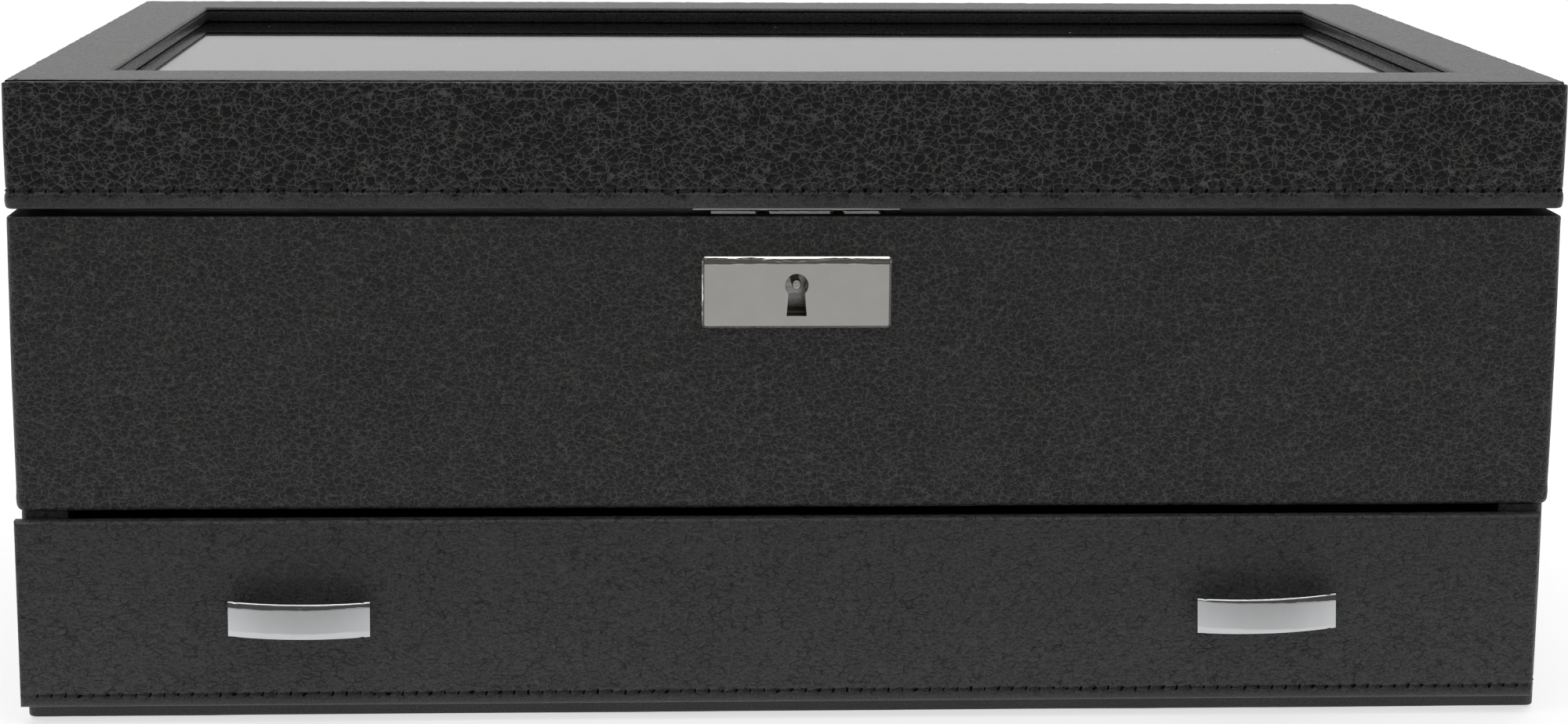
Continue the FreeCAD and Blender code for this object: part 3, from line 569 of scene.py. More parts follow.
def thread(name):
    m, tree, shader = new_material(name, Roughness=0.6, Specular_IOR_Level=0.3)
    twist = mapped(tree, cloud(tree, place(tree), 0.35, 2.0), 0.3, 0.7)
    tree.links.new(mixed(tree, twist, grey(0.008), grey(0.022)), shader.inputs["Base Color"])
    return m


def needle_hole_shade(name):
    # Near-black and matt: painted shade, for the insides of the needle holes and the shaded groove, lip and
    # glass edge of the top cover.
    m, tree, shader = new_material(name, Roughness=0.9, Specular_IOR_Level=0.05)
    pit = cloud(tree, place(tree), 0.5, 2.0)
    tree.links.new(mixed(tree, pit, grey(0.001), grey(0.004)), shader.inputs["Base Color"])
    return m


# The lid's hem grey, far above its ground, is painted light on the rounded hem.
LID_GRAIN = leather("leather_lid", cell=1.85, ground=0.004, vein=0.11, crease=0.3, depth=0.10,
                    roughness=0.36, hem=(LID_STITCH_Z - 2.2, LID_STITCH_Z + 0.4, 0.055))
TOP_GRAIN = leather("leather_top", cell=0.9, ground=0.02, vein=0.04, crease=0.1, depth=0.035, roughness=0.27)
CASE_GRAIN = leather("leather_case", cell=1.4, ground=0.020, vein=0.095, crease=0.6, depth=0.09,
                     roughness=0.38)
# The cover leather made near-black and matt: painted shade where it lies in the gap between lid and case and
# inside the lid's wrap.
RIM_SHADE_GRAIN = leather("leather_rim_shade", cell=1.4, ground=0.003, vein=0.006, crease=0.3, depth=0.05, roughness=0.8)
BAY_GRAIN = leather("leather_bay", cell=1.5, ground=0.036, vein=0.070, crease=0.9, depth=0.08,
                    roughness=0.40, stretch=(0.8, 0.8, 1.1), patchy=0.08,
                    hem=(BAY_STITCH_Z - 1.6, BAY_STITCH_Z + 0.2, 0.04))
THREAD = thread("thread")
HOLE_SHADE = needle_hole_shade("needle_hole_shade")
CUSHION_CLOTH = velour("velour_cushion", (0.085, 0.080, 0.074), nap_contrast=0.3)

PLATE_CHROME = (0.74, 0.73, 0.70)
HANDLE_CHROME = (0.60, 0.61, 0.62)
SLOT_MATERIAL = {
    "wood_core": wood("stained_board"),
    "velour": velour("velour_lining", (0.020, 0.019, 0.018), nap_contrast=0.35),
    "felt": felt("felt"),
    "chrome": metal("chrome", (0.80, 0.79, 0.77), 0.07, smudge=0.03),
    "steel": metal("steel", (0.58, 0.58, 0.57), 0.22, brushed=(0.06, 1.0, 1.0)),
    "glass": pane("glass"),
}
ROLLED = {
    "lock_plate": metal("chrome_plate", PLATE_CHROME, 0.06, smudge=0.02, rolled="lock_plate", side_roll=0.5),
    "handle_left": metal("chrome_left", HANDLE_CHROME, 0.06, smudge=0.02, rolled="handle_left"),
    "handle_right": metal("chrome_right", HANDLE_CHROME, 0.06, smudge=0.02, rolled="handle_right"),
}
BEVELS = {"long_divider": 0.8, "cross_dividers": 0.8, "drawer_dividers": 0.8, "lid_glass_retainer": 0.5,
          "strike_plate": 0.15, "lock_bolt": 0.15, "rim_bumpers": 0.3}


def dress_cad_nodes():
    """Gives every CAD node that stays the material of its slot, and breaks the sharp edges of those in BEVELS
    a little.
    """
    slots = {row["node"]: row["material_slot"] for row in frame["record"]["subparts"]}
    for name, obj in nodes.items():
        material = SLOT_MATERIAL.get(slots[name])
        if material is None:
            continue
        obj.data.materials.clear()
        obj.data.materials.append(ROLLED.get(name, material))
        if name in BEVELS:
            bevel = obj.modifiers.new("edges", "BEVEL")
            bevel.width = BEVELS[name] * MM
            bevel.segments = 2
            bevel.limit_method = "ANGLE"
            bevel.angle_limit = math.radians(50)


# ---- stitches ----------------------------------------------------------------------------
CAPSULE_HALF = ((0.5, 0.15), (0.46, 0.6), (0.36, 0.92), (0.12, 1.0))     # (place, thickness) from its end


def capsule(length, radius, sides=8):
    """A rounded thread along X, centred on the origin."""
    stations = [(-x, r) for x, r in CAPSULE_HALF] + list(CAPSULE_HALF[::-1])
    turns = np.arange(sides) * 2 * math.pi / sides
    verts = np.concatenate([np.column_stack([np.full(sides, x * length), radius * r * np.cos(turns),
                                             radius * r * np.sin(turns)]) for x, r in stations])
    faces = grid_faces(len(stations), sides, False, True)
    return verts, faces + end_caps(len(stations), sides)


def point_and_way(flat, lengths, total, s, reach=0.4):
    """The point at distance s along a path, and the path's direction there."""
    def at(distance):
        return np.array([np.interp(distance, lengths, flat[:, c]) for c in (0, 1)])

    way = at(min(s + reach, total)) - at(max(s - reach, 0))
    return at(s), way / np.linalg.norm(way)


def seam(name, flat, z, pitch, shift, body, closed=True, hole_size=1.0):
    """A row of stitches along a path: threads lying in the seam and, between them, needle holes drawn as
    near-black capsules of painted shade.
    """
    lengths, total = path_length(flat, closed)
    if closed:
        flat = np.vstack([flat, flat[:1]])
        lengths = np.append(lengths, total)
    random = np.random.default_rng(7)
    shapes = (capsule(pitch * 0.66, THREAD_R), capsule(HOLE_LENGTH * hole_size, HOLE_R))
    up = np.array([0.0, 0.0, 1.0])
    verts, faces, kinds = [], [], []
    used = 0
    for k in range(int(total / pitch + 1e-6)):
        thread_tilt = random.normal(0.0, 5.0)
        hole_tilt = 58 + random.normal(0.0, 24.0)
        for is_hole, (at, tilt) in enumerate(((0.5, thread_tilt), (0.0, hole_tilt))):
            (x, y), way = point_and_way(flat, lengths, total, (shift + (k + at) * pitch) % total)
            out = np.array([way[1], -way[0], 0.0])
            along = np.array([way[0], way[1], 0.0])
            a = math.radians(tilt)
            first = along * math.cos(a) + up * math.sin(a)
            second = np.cross(first, out)
            shape, shape_faces = shapes[is_hole]
            centre = np.array([x, y, z + random.normal(0.0, 0.08)]) - out * (SEAM_SINK - 0.06 * is_hole)
            size = random.uniform(0.6, 1.15) if is_hole else 1.0
            points = centre + shape[:, :1] * first * size + shape[:, 1:2] * second * size
            points = points + shape[:, 2:3] * out
            verts.append(points)
            faces += [[i + used for i in f] for f in shape_faces]
            kinds += [is_hole] * len(shape_faces)
            used += len(points)
    obj = make_object(name, np.concatenate(verts), faces, THREAD, 80)
    # the hole capsules take the near-black material: painted shade inside the needle holes
    obj.data.materials.append(HOLE_SHADE)
    obj.data.polygons.foreach_set("material_index", kinds)
    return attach(obj, body)


# ---- leather covers ----------------------------------------------------------------------
def lid_side():
    """The wrap round the lid: rounded hem below a seam, and a folded edge along the top."""
    rect = footprint(LID_LOW, LID_HIGH)
    z0, z1 = LID_LOW[2], LID_HIGH[2]
    edge_r = 0.5
    ridge_r = 0.45
    profile = [(-TURN_IN, z0), (-2.5, z0)] + arc(-edge_r, z0 + edge_r, edge_r, -85, -8, 6)
    profile += upright(z0 + edge_r + 0.15, LID_STITCH_Z - 0.9, 0.35)
    profile += upright(LID_STITCH_Z - 0.9, LID_STITCH_Z + 1.0, 0.24)
    profile += upright(LID_STITCH_Z + 1.1, z1 + 0.1, 0.95)
    face_to = len(profile)
    ridge = arc(-ridge_r, z1 + 0.3, ridge_r, 0, 180, 9)
    ridge_to = face_to + len(ridge)
    profile += ridge + [(-1.0, z1 + 0.02)]
    profile += [(-LEATHER, z1 - 0.6), (-LEATHER, z0 + LEATHER), (-TURN_IN, z0 + LEATHER)]
    samples = ring_samples(2 * LID_HIGH[0], 2 * LID_HIGH[1], LID_PITCH / 6)
    p = swept(rect, CORNER_R, profile, samples)
    above = np.maximum(p[..., 2] - z1, 0)
    p[..., 2] -= above * 0.6 * (1 - front_share(samples))[:, None]
    s, total = path_length(p[:, face_to - 5, :2])
    pitch = total / round(total / LID_PITCH)
    z = p[..., 2]
    relief = leather_waves(p, 11) + stitch_relief(s[:, None], z, LID_STITCH_Z, pitch, 0.0)
    relief += 0.30 * bulge(z, z0, LID_STITCH_Z) * (1 + 0.25 * noise(p, 9.0, 3))
    relief += 0.12 * bulge(z, LID_STITCH_Z, z1)
    relief = np.where(near_hinges(p), np.minimum(relief, 0.0), relief)
    weight = np.zeros(len(profile))
    weight[3:face_to] = 1.0
    weight[face_to:ridge_to] = 0.6
    p = raised(p, relief, weight)
    faces = grid_faces(len(samples), len(profile), True, True)
    obj = make_object("lid_wrap", p.reshape(-1, 3), faces, LID_GRAIN)
    # painted shade: the lid's underside and inside take the near-black rim leather
    second_material(obj, RIM_SHADE_GRAIN, [j < 3 or j >= ridge_to for j in range(len(profile))], len(samples))
    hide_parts("lid_side_leather")
    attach(obj, "lid")
    flat = outline(rect, CORNER_R, samples)
    seam("lid_seam", flat, LID_STITCH_Z, pitch, 0.0, "lid", hole_size=0.75)


def lid_top():
    """The leather of the top frame, tucked in at the outer edge and turned down round the glass."""
    rect = footprint(TOP_LOW, TOP_HIGH)
    window = grown(footprint(GLASS_LOW, GLASS_HIGH), -GLASS_LAP)
    z0, z1 = TOP_LOW[2], TOP_HIGH[2]
    board = z1 - LEATHER
    samples = ring_samples(2 * TOP_HIGH[0], 2 * TOP_HIGH[1], COVER_STEP)
    front = front_share(samples)[:, None]
    x_share = np.array([c[2] if not c[0] and c[1] == 0 else float(c[1] == 0) for c in samples])[:, None]

    def row(step_in, window_offset, share, z):
        """A line round the cover, step_in mm in from its outer edge, or a share of the way to the window.
        Along the front the outer edge lies further back, and a little more so towards the left."""
        groove = -1.55 - 0.7 * (1 - x_share) - step_in
        outer = outline(grown(rect, -0.55 - step_in), CORNER_R - step_in, samples) * (1 - front)
        outer = outer + outline(grown(rect, -2.0 - step_in), 0.3, samples) * front
        outer[:, 1:] += (groove + 2.0 + step_in) * front * -1.0
        inner = outline(grown(window, window_offset), 0.9 + window_offset, samples)
        flat = outer * (1 - share) + inner * share
        return np.column_stack([flat, np.full(len(flat), z)])

    rows = [row(step_in, 0, 0, board + rise)
            for step_in, rise in ((0.0, 0.02), (0.0, 0.35), (0.05, 0.6), (0.2, 0.83), (0.5, 0.97))]
    # the first rows lie down in the groove at the outer edge, which is given painted shade below
    shaded_groove_rows = 3
    edge = 0.8
    rows += [row(0.5, edge, share, z1) for share in np.linspace(0.05, 1.0, 14)]
    for a in np.radians(np.linspace(72, 0, 5)):
        rows.append(row(0, edge - edge * math.cos(a), 1.0, z1 - edge + edge * math.sin(a)))
    lip = len(rows)
    rows += [row(0, inset, 1.0, z1 - edge - drop)
             for inset, drop in ((0.35, 0.12), (0.35, 0.3), (0.05, 0.45))]
    rows += [row(0, 0, 1.0, z) for z in np.linspace(z1 - edge - 0.6, z0 + 0.45, 3)]
    rows += [row(0, 0.15, 1.0, z0 + 0.2), row(0, 0.5, 1.0, z0 + 0.05)]
    visible = len(rows)
    rows += [row(0, LEATHER, 1.0, z0 + 0.05), row(0, LEATHER, 1.0, board), row(0.0, 0, 0, board)]
    p = np.stack(rows, 1)
    smooth_part = np.zeros(len(rows))
    smooth_part[4:lip] = 1.0
    edge_part = np.zeros(len(rows))
    edge_part[2:6] = (0.5, 1.0, 1.0, 0.6)
    relief = (0.8 * leather_waves(p, 31) - 0.05) * smooth_part + 0.10 * noise(p, 1.1, 37) * edge_part
    p = raised(p, relief, 1.0)
    faces = grid_faces(len(samples), len(rows), True, True)
    obj = make_object("lid_top_cover", p.reshape(-1, 3), faces, TOP_GRAIN)
    # Painted shade: the groove rows at the outer edge, the lip round the window and the last rows down at the
    # glass take the near-black material.
    dark = [j < shaded_groove_rows or j == lip or j >= visible - 2 for j in range(len(rows))]
    second_material(obj, HOLE_SHADE, dark, len(samples))
    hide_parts("lid_top_leather")
    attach(obj, "lid")


def case_openings(top):
    """The boxes cut out of the case's cover: the lock case in the rim, and a hole behind the lock plate."""
    play = 0.15
    side_lap, edge_lap, depth = 8.0, 1.5, 1.5
    front = CASE_LOW[1]
    lock_low, lock_high = box_mm("lock_case")
    plate_low, plate_high = box_mm("lock_plate")
    lock_box = (lock_low - (play, play, 0), (lock_high[0] + play, lock_high[1] + play, top + 1))
    plate_box = ((plate_low[0] + side_lap, front - 1, plate_low[2] + edge_lap),
                 (plate_high[0] - side_lap, front + depth, plate_high[2] - edge_lap))
    return [lock_box, plate_box]


def case_cover():
    """The cover of the upper case, over the rim and round the lower lip."""
    z0, z1 = CASE_LOW[2], CASE_HIGH[2]
    lip_r = 1.4
    rim_r = 0.6
    lip_end = -2.4
    profile = [(lip_end, z0)] + arc(-lip_r, z0 + lip_r, lip_r, -80, -8, 7)
    profile += upright(z0 + lip_r + 0.2, z1 - rim_r - 0.2, 1.15)
    face_to = len(profile)
    rim_to = face_to + 5
    profile += arc(-rim_r, z1 - rim_r, rim_r, 0, 85, 6)
    profile += [(-2.5, z1), (-TURN_IN, z1), (-TURN_IN, z1 - LEATHER), (-LEATHER, z1 - LEATHER)]
    profile += [(-LEATHER, z0 + LEATHER), (lip_end, z0 + LEATHER)]
    samples = ring_samples(2 * CASE_HIGH[0], 2 * CASE_HIGH[1], COVER_STEP)
    p = swept(footprint(CASE_LOW, CASE_HIGH), CORNER_R, profile, samples)
    z = p[..., 2]
    relief = leather_waves(p, 51) + 0.16 * bulge(z, z0, z1)
    relief += 0.14 * np.exp(-((z - z0 - 2.6) / 1.3) ** 2) + 0.03 * noise(p, 1.1, 57) * (z > z1 - 1.5)
    relief = np.where(near_hinges(p), np.minimum(relief, 0.0), relief)
    weight = np.zeros(len(profile))
    weight[1:face_to] = 1.0
    weight[face_to:rim_to] = 0.4
    p = raised(p, relief, weight)
    faces = grid_faces(len(samples), len(profile), True, True)
    obj = make_object("case_cover", p.reshape(-1, 3), faces, CASE_GRAIN)
    # painted shade: the top of the rim, in the gap under the lid, takes the near-black rim leather
    second_material(obj, RIM_SHADE_GRAIN, [j >= rim_to for j in range(len(profile))], len(samples))
    cut(obj, case_openings(z1))
    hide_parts("case_leather")
    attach(obj, "case")


def case_front_turn_in():
    """The strip of leather turned under the front wall, above the drawer."""
    z0 = CASE_LOW[2]
    y0, y1 = CASE_LOW[1] + 2.0, CASE_LOW[1] + TURN_IN
    xs = np.linspace(-BAY_MOUTH, BAY_MOUTH, 120)
    section = [(y0, z0 + LEATHER), (y1 - 0.2, z0 + LEATHER), (y1, z0 + 0.45),
               (y1 - 0.4, z0 + 0.02), (y0, z0 + 0.02)]
    p = np.array([[(x, y, z) for y, z in section] for x in xs])
    p[..., 2] -= 0.04 * (noise(p, 6.0, 61) + 1) * (p[..., 2] < z0 + 0.3)
    faces = grid_faces(len(xs), len(section), False, True) + end_caps(len(xs), len(section))
    obj = make_object("case_turn_in", p.reshape(-1, 3), faces, CASE_GRAIN)
    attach(obj, "case")


def bay_profiles():
    """The bay cover's sections: the full wall round the sides and back, and the strip under the drawer."""
    z0, z1 = BAY_LOW[2], BAY_HIGH[2]
    foot_r = 0.4
    foot = z0 - FOOT_DROP
    lower = [(-BASE_TURN_IN, z0), (-4.0, z0), (-3.0, foot)] + arc(-foot_r, foot + foot_r, foot_r, -85, -8, 6)
    lower += upright(foot + foot_r + 0.15, BASE_TOP, 0.3) + [(0.0, BASE_TOP)]
    upper = upright(BASE_TOP + 0.3, BAY_STITCH_Z + 1.8, 0.3)
    upper += upright(BAY_STITCH_Z + 2.4, z1 - 0.5, 2.2) + [(0.0, z1 - 0.2)]
    inner = [(-LEATHER, z0 + 1.6), (-1.6, z0 + LEATHER), (-BASE_TURN_IN, z0 + LEATHER)]
    return lower + upper + [(-LEATHER, z1)] + inner, lower + [(-LEATHER, BASE_TOP)] + inner


def bay_paths():
    """The paths of those two sections: round three sides to the drawer's opening, and across the opening."""
    reach = BAY_HIGH[0] - CORNER_R
    marks = ((reach - BAY_MOUTH) / (2 * reach), (reach + BAY_MOUTH) / (2 * reach))
    samples = ring_samples(2 * BAY_HIGH[0], BAY_HIGH[1] - BAY_LOW[1], BAY_PITCH / 5, marks)
    front = [i for i, one in enumerate(samples) if not one[0] and one[1] == 0]
    left, right = (min(front, key=lambda i: abs(samples[i][2] - mark)) for mark in marks)
    return samples[right:] + samples[:left + 1], samples[left:right + 1]


def bay_cover():
    """The cover of the drawer bay: round three sides and the wall edges, and a strip under the drawer."""
    rect = footprint(BAY_LOW, BAY_HIGH)
    sides_path, strip_path = bay_paths()
    sides_profile, strip_profile = bay_profiles()
    verts, faces, used = [], [], 0
    for path, profile in ((sides_path, sides_profile), (strip_path, strip_profile)):
        p = swept(rect, CORNER_R, profile, path)
        s, _ = path_length(p[:, 6, :2], False)
        z = p[..., 2]
        relief = 0.7 * leather_waves(p, 71)
        if path is sides_path:
            relief += stitch_relief(s[:, None], z, BAY_STITCH_Z, BAY_PITCH, BAY_SHIFT)
            relief += 0.1 * bulge(z, BAY_STITCH_Z, BAY_HIGH[2])
        weight = np.zeros(len(profile))
        weight[4:len(profile) - 5] = 1.0
        from_end = np.minimum(np.arange(len(path)), np.arange(len(path))[::-1])
        weight = weight[None, :] * np.clip(from_end / 4.0, 0, 1)[:, None]
        p = raised(p, relief, weight, wrap_path=False)
        faces += grid_faces(len(path), len(profile), False, True, used)
        faces += end_caps(len(path), len(profile), used)
        verts.append(p.reshape(-1, 3))
        used += len(path) * len(profile)
    obj = make_object("bay_cover", np.concatenate(verts), faces, BAY_GRAIN)
    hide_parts("bay_leather")
    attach(obj, "case")
    flat = outline(rect, CORNER_R, sides_path)
    seam("bay_seam", flat, BAY_STITCH_Z, BAY_PITCH, BAY_SHIFT, "case", closed=False)


def face_grid(edge_r):
    """X and Z places over the drawer's face, close together at its edges and its seam."""
    x0, _, z0 = FACE_LOW
    x1, _, z1 = FACE_HIGH
    rim = [0.0, 0.08, 0.25, 0.5, 0.8, edge_r]
    inner_x = np.linspace(x0 + edge_r, x1 - edge_r, round((x1 - x0) / 0.6))[1:-1]
    seam_z = np.arange(BAY_STITCH_Z - 1.0, BAY_STITCH_Z + 1.5, 0.28)
    above = np.linspace(BAY_STITCH_Z + 1.8, z1 - edge_r - 0.6, 40)
    xs = np.array([x0 + d for d in rim] + list(inner_x) + [x1 - d for d in rim[::-1]])
    zs = np.array([z0 + d for d in rim] + list(seam_z) + list(above) + [z1 - d for d in rim[::-1]])
    return xs, np.unique(np.round(zs, 3))


def drawer_face():
    """The drawer's leather face: a thin padded panel with rounded edges and a seam along the bottom."""
    x0, y0, z0 = FACE_LOW
    x1, y1, z1 = FACE_HIGH
    edge_r = 1.1
    xs, zs = face_grid(edge_r)
    nx, nz = len(xs), len(zs)
    gx, gz = np.meshgrid(xs, zs, indexing="ij")
    from_edge = np.minimum(np.minimum(gx - x0, x1 - gx), np.minimum(gz - z0, z1 - gz))
    fall = 1 - np.clip(from_edge / edge_r, 0, 1)
    gy = y0 + edge_r * (1 - np.sqrt(np.maximum(1 - fall ** 2, 0)))
    p = np.stack([gx, gy, gz], -1)
    relief = 0.8 * leather_waves(p, 91) + stitch_relief(gx, gz, BAY_STITCH_Z, BAY_PITCH, 0.0)
    relief += 0.10 * np.exp(-((gz - z0 - 1.3) / 0.7) ** 2)
    relief *= np.clip(from_edge / edge_r, 0, 1) * (gz > z0 + 0.6)
    p[..., 1] -= relief
    front = p.reshape(-1, 3)
    faces = grid_faces(nx, nz, False, False)

    # the edge of the front goes back, in by the leather's thickness and forward again to the board
    loop = [i * nz for i in range(nx)] + [(nx - 1) * nz + j for j in range(1, nz)]
    loop += [i * nz + nz - 1 for i in range(nx - 2, -1, -1)] + list(range(nz - 2, 0, -1))
    border = front[loop]
    centre = np.array([(x0 + x1) / 2, 0, (z0 + z1) / 2])
    half = np.array([(x1 - x0) / 2, 1, (z1 - z0) / 2])
    inner = centre + (border - centre) * (half - np.array([LEATHER, 0, LEATHER])) / half
    verts = [front]
    previous = loop
    used = len(front)
    for points, y in ((border, y1), (inner, y1), (inner, y0 + LEATHER)):
        ring = points.copy()
        ring[:, 1] = y
        current = list(range(used, used + len(ring)))
        for a in range(len(ring)):
            b = (a + 1) % len(ring)
            faces.append([previous[a], current[a], current[b], previous[b]])
        verts.append(ring)
        used += len(ring)
        previous = current
    faces.append(previous[::-1])
    obj = make_object("drawer_face_cover", np.concatenate(verts), faces, BAY_GRAIN)
    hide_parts("drawer_face_leather")
    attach(obj, "drawer")
    flat = np.column_stack([np.linspace(x0 + 1.2, x1 - 1.2, 400), np.full(400, y0)])
    seam("drawer_seam", flat, BAY_STITCH_Z, BAY_PITCH, x0 % BAY_PITCH, "drawer", closed=False)


# ---- cushions ----------------------------------------------------------------------------
CUSHION_VOXEL = 3.4
CUSHION_START = 0.93     # the pad starts smaller and swells
SEAM_INSET = 3.2         # the end seams, in from the cushion's ends
MAX_SWELL = 4.0
SIM_FRAMES = 20
PIPING_R = 0.85
PIPING_TURNS = 96        # mesh points round the piping's path
PIPING_SIDES = 8         # and round the piping itself


def vertex_array(mesh):
    co = np.zeros(len(mesh.vertices) * 3)
    mesh.vertices.foreach_get("co", co)
    return co.reshape(-1, 3)


def swell(pad, start, seam_x):
    """Blows the pad up by cloth pressure, its end seams held, and applies the result within MAX_SWELL."""
    group = pad.vertex_groups.new(name="sewn")
    sewn = [i for i, v in enumerate(start) if abs(abs(v[0]) - seam_x) < 0.55 * CUSHION_VOXEL * MM]
    group.add(sewn, 1.0, "ADD")
    cloth = pad.modifiers.new("cloth", "CLOTH")
    settings = cloth.settings
    settings.vertex_group_mass = "sewn"
    settings.quality = 6
    settings.mass = 0.25
    settings.tension_stiffness = 12
    settings.compression_stiffness = 12
    settings.bending_stiffness = 0.4
    settings.use_pressure = True
    settings.uniform_pressure_force = 5.0
    settings.effector_weights.gravity = 0
    cloth.point_cache.frame_start = 1
    cloth.point_cache.frame_end = SIM_FRAMES
    for number in range(1, SIM_FRAMES + 1):
        bpy.context.scene.frame_set(number)
    pad.data = evaluated_copy(pad)
    pad.modifiers.clear()
    bpy.context.scene.frame_set(1)
    moved = vertex_array(pad.data) - start
    length = np.linalg.norm(moved, axis=1, keepdims=True)
    moved *= np.minimum(1, MAX_SWELL * MM / np.maximum(length, 1e-9))
    pad.data.vertices.foreach_set("co", (start + moved).ravel())


def pillow_mesh():
    """One stuffed pillow, centred on the origin, sewn at both ends. Vertices and seam place in mm."""
    low, high = (np.array(c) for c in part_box("cushion_front_1"))
    size = high - low
    mesh = nodes["cushion_front_1"].data.copy()
    co = (vertex_array(mesh) - (low + high) / 2) * CUSHION_START
    mesh.vertices.foreach_set("co", co.ravel())
    pad = bpy.data.objects.new("pillow_source", mesh)
    bpy.context.scene.collection.objects.link(pad)
    remesh = pad.modifiers.new("remesh", "REMESH")
    remesh.mode = "VOXEL"
    remesh.voxel_size = CUSHION_VOXEL * MM
    pad.data = evaluated_copy(pad)
    pad.modifiers.clear()
    seam_x = size[0] / 2 * CUSHION_START - SEAM_INSET * MM
    swell(pad, vertex_array(pad.data), seam_x)
    smooth = pad.modifiers.new("smooth", "SUBSURF")
    smooth.levels = smooth.render_levels = 1
    mesh = evaluated_copy(pad)
    bpy.data.objects.remove(pad)
    co = vertex_array(mesh)
    limit = size / 2 - np.array([0.2, 0.2, 0.1]) * MM
    co = co * np.minimum(1, limit / np.abs(co).max(0))
    return co / MM, [list(f.vertices) for f in mesh.polygons], seam_x / MM


def piping(co, side, seam_x, used):
    """A cord round one end of the pillow, lying in its seam."""
    near = co[np.abs(co[:, 0] - side * seam_x) < 2.2]
    angle = np.arctan2(near[:, 2], near[:, 1])
    reach = np.linalg.norm(near[:, 1:], axis=1)
    order = np.argsort(angle)
    ring_angle = np.linspace(-math.pi, math.pi, PIPING_TURNS, endpoint=False)
    radius = np.interp(ring_angle, angle[order], reach[order], period=2 * math.pi)
    for _ in range(3):
        radius = (np.roll(radius, 1) + 2 * radius + np.roll(radius, -1)) / 4
    verts = []
    for a, r in zip(ring_angle, radius):
        out = np.array([0, math.cos(a), math.sin(a)])
        for k in range(PIPING_SIDES):
            t = 2 * math.pi * k / PIPING_SIDES
            verts.append(np.array([side * seam_x, 0, 0]) + out * (r + PIPING_R * (0.35 + math.cos(t)))
                         + np.array([side * PIPING_R * math.sin(t), 0, 0]))
    quads = grid_faces(PIPING_TURNS, PIPING_SIDES, True, True, used)
    return verts, quads if side < 0 else [q[::-1] for q in quads]


def pillow_with_piping():
    """The pillow with a sunk seam and a piping cord at each end. Vertices in mm."""
    co, faces, seam_x = pillow_mesh()
    pull = np.exp(-((np.abs(co[:, 0]) - seam_x) / 1.5) ** 2)
    radial = co * np.array([0, 1, 1])
    length = np.maximum(np.linalg.norm(radial, axis=1, keepdims=True), 1e-6)
    co = co - radial / length * (pull * 0.9)[:, None]
    verts = list(co)
    for side in (-1, 1):
        cord_verts, cord_faces = piping(co, side, seam_x, len(verts))
        verts += cord_verts
        faces += cord_faces
    return np.array(verts), faces


def cushions():
    """The twelve watch cushions, each a little different from the next."""
    verts, faces = pillow_with_piping()
    random = np.random.default_rng(21)
    for name in sorted(n for n in nodes if n.startswith("cushion_")):
        low, high = box_mm(name)
        centre = (low + high) / 2
        own = verts.copy()
        if random.random() < 0.5:
            own = own * np.array([-1, -1, 1])
        own = own + 0.35 * np.stack([noise(own + 50 * k, 16.0, len(name) + k) for k in range(3)], -1)
        own = own + random.normal(0, 0.12, own.shape[1])
        reach = (high - low) / 2 + np.array([0.9, 1.5, 0.9])
        own = own * np.minimum(1, reach / np.abs(own).max(0))
        own[:, 2] = np.maximum(own[:, 2], (low - centre)[2])
        obj = make_object("pillow_" + name.split("_", 1)[1], own + centre, faces, CUSHION_CLOTH, 60)
        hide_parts(name)
        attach(obj, "case")


# ---- stage, light and camera ---------------------------------------------------------------
CAMERA_AT = (-0.0348, -0.7926, 0.2089)
CAMERA_TURN = (79.24, -0.36, -2.69)      # degrees about X, Y and Z
LENS = 75.45                             # mm on a sensor SENSOR mm wide
SENSOR = 36.0
LAMP_AT = (0.0, 0.35, 1.5)
LAMP_AIM = (0.0, 0.2, 0.0)
LAMP_SIZE = (2.2, 1.8)                   # metres
LAMP_POWER = 16.0                        # watts
ROOM_DARK = (0.10, 0.095, 0.09, 1)
ROOM_BACK_EDGE = (-0.45, 0.45)           # Y of the direction, from the dark front to the pale back
ROOM_BACK_LEVEL = 0.60
ROOM_TOP_EDGE = (0.35, 0.85)             # Z of the direction, from there to white overhead
WHITE = (1.0, 1.0, 1.0, 1)
FLOOR_HALF = 8.0                         # metres
FLOOR_Z = -0.0003                        # just under the feet, in metres
FLOOR_GREY = (0.17, 0.166, 0.16, 1)
FLOOR_WHITE = (0.40, 0.40, 0.40, 1)
FLOOR_GLOW = (0.24, 0.66)                # emission of the grey and of the white floor
GREY_POOL_AT = (0.0, -700.0, 0.0)        # mm
GREY_POOL_EDGE = (-260.0, -115.0)        # y from grey to white, nearest the box
GREY_POOL_FADE = (650.0, 1700.0)         # distance from the pool's middle, grey to white


def set_camera():
    data = bpy.data.cameras.new("camera")
    data.lens = LENS
    data.sensor_width = SENSOR
    data.clip_start = 0.01
    camera = bpy.data.objects.new("camera", data)
    camera.location = CAMERA_AT
    camera.rotation_euler = Euler([math.radians(a) for a in CAMERA_TURN], "XYZ")
    bpy.context.scene.collection.objects.link(camera)
    bpy.context.scene.camera = camera


def set_lamp():
    """One wide lamp overhead."""
    data = bpy.data.lights.new("overhead", "AREA")
    data.shape = "RECTANGLE"
    data.size, data.size_y = LAMP_SIZE
    data.energy = LAMP_POWER
    lamp = bpy.data.objects.new("overhead", data)
    lamp.location = LAMP_AT
    lamp.rotation_euler = (Vector(LAMP_AIM) - Vector(LAMP_AT)).to_track_quat("-Z", "Y").to_euler()
    bpy.context.scene.collection.objects.link(lamp)


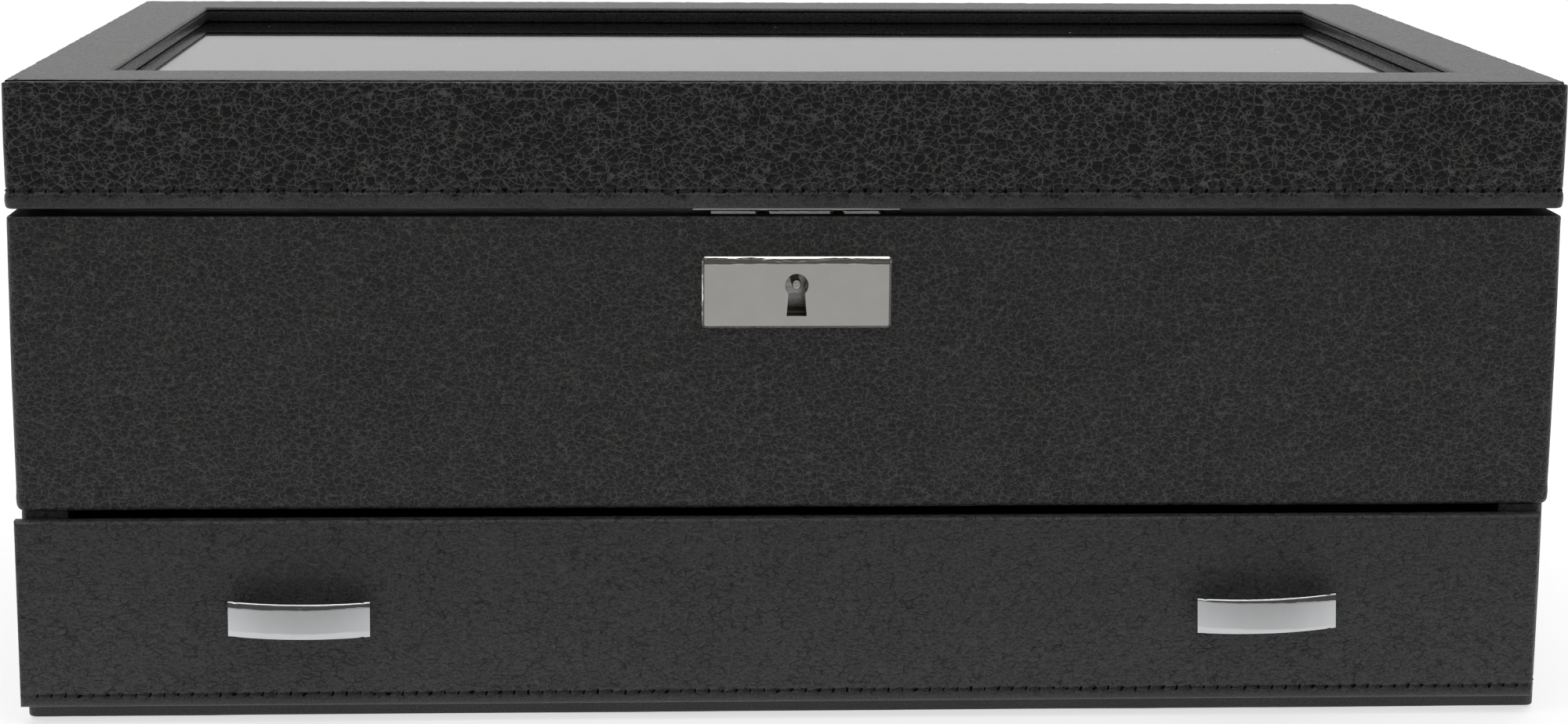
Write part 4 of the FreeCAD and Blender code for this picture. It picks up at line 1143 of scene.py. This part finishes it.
def set_world():
    """A pale room, dark above the horizon at the front; what the camera itself sees is plain white."""
    world = bpy.data.worlds.new("room")
    bpy.context.scene.world = world
    world.use_nodes = True
    tree = world.node_tree
    way = add(tree, "ShaderNodeSeparateXYZ", {0: add(tree, "ShaderNodeTexCoord").outputs["Generated"]})
    back = mapped(tree, way.outputs["Y"], *ROOM_BACK_EDGE, 0.0, ROOM_BACK_LEVEL)
    high = mapped(tree, way.outputs["Z"], *ROOM_TOP_EDGE)
    light = mixed(tree, math_node(tree, "MAXIMUM", back, high), ROOM_DARK, WHITE)
    seen = add(tree, "ShaderNodeLightPath").outputs["Is Camera Ray"]
    tree.links.new(mixed(tree, seen, light, WHITE), tree.nodes["Background"].inputs["Color"])


def set_floor():
    """A white light table with a soft grey pool in front of the box."""
    mesh = bpy.data.meshes.new("floor")
    corners = [(x * FLOOR_HALF, y * FLOOR_HALF, FLOOR_Z) for x, y in ((-1, -1), (1, -1), (1, 1), (-1, 1))]
    mesh.from_pydata(corners, [], [(0, 1, 2, 3)])
    floor = bpy.data.objects.new("floor", mesh)
    bpy.context.scene.collection.objects.link(floor)
    m, tree, shader = new_material("floor_white", Roughness=0.9, Specular_IOR_Level=0.0,
                                   Emission_Color=WHITE)
    at = place(tree)
    y = add(tree, "ShaderNodeSeparateXYZ", {0: at}).outputs["Y"]
    away = add(tree, "ShaderNodeVectorMath", {0: at, 1: GREY_POOL_AT}, operation="DISTANCE").outputs["Value"]
    white = math_node(tree, "MAXIMUM", mapped(tree, y, *GREY_POOL_EDGE), mapped(tree, away, *GREY_POOL_FADE))
    tree.links.new(mixed(tree, white, FLOOR_GREY, FLOOR_WHITE), shader.inputs["Base Color"])
    tree.links.new(mapped(tree, white, 0.0, 1.0, *FLOOR_GLOW), shader.inputs["Emission Strength"])
    mesh.materials.append(m)


set_camera()
set_world()
set_floor()
set_lamp()
bpy.context.scene.view_settings.view_transform = "Standard"
lid_side()
lid_top()
case_cover()
case_front_turn_in()
bay_cover()
drawer_face()
cushions()
dress_cad_nodes()
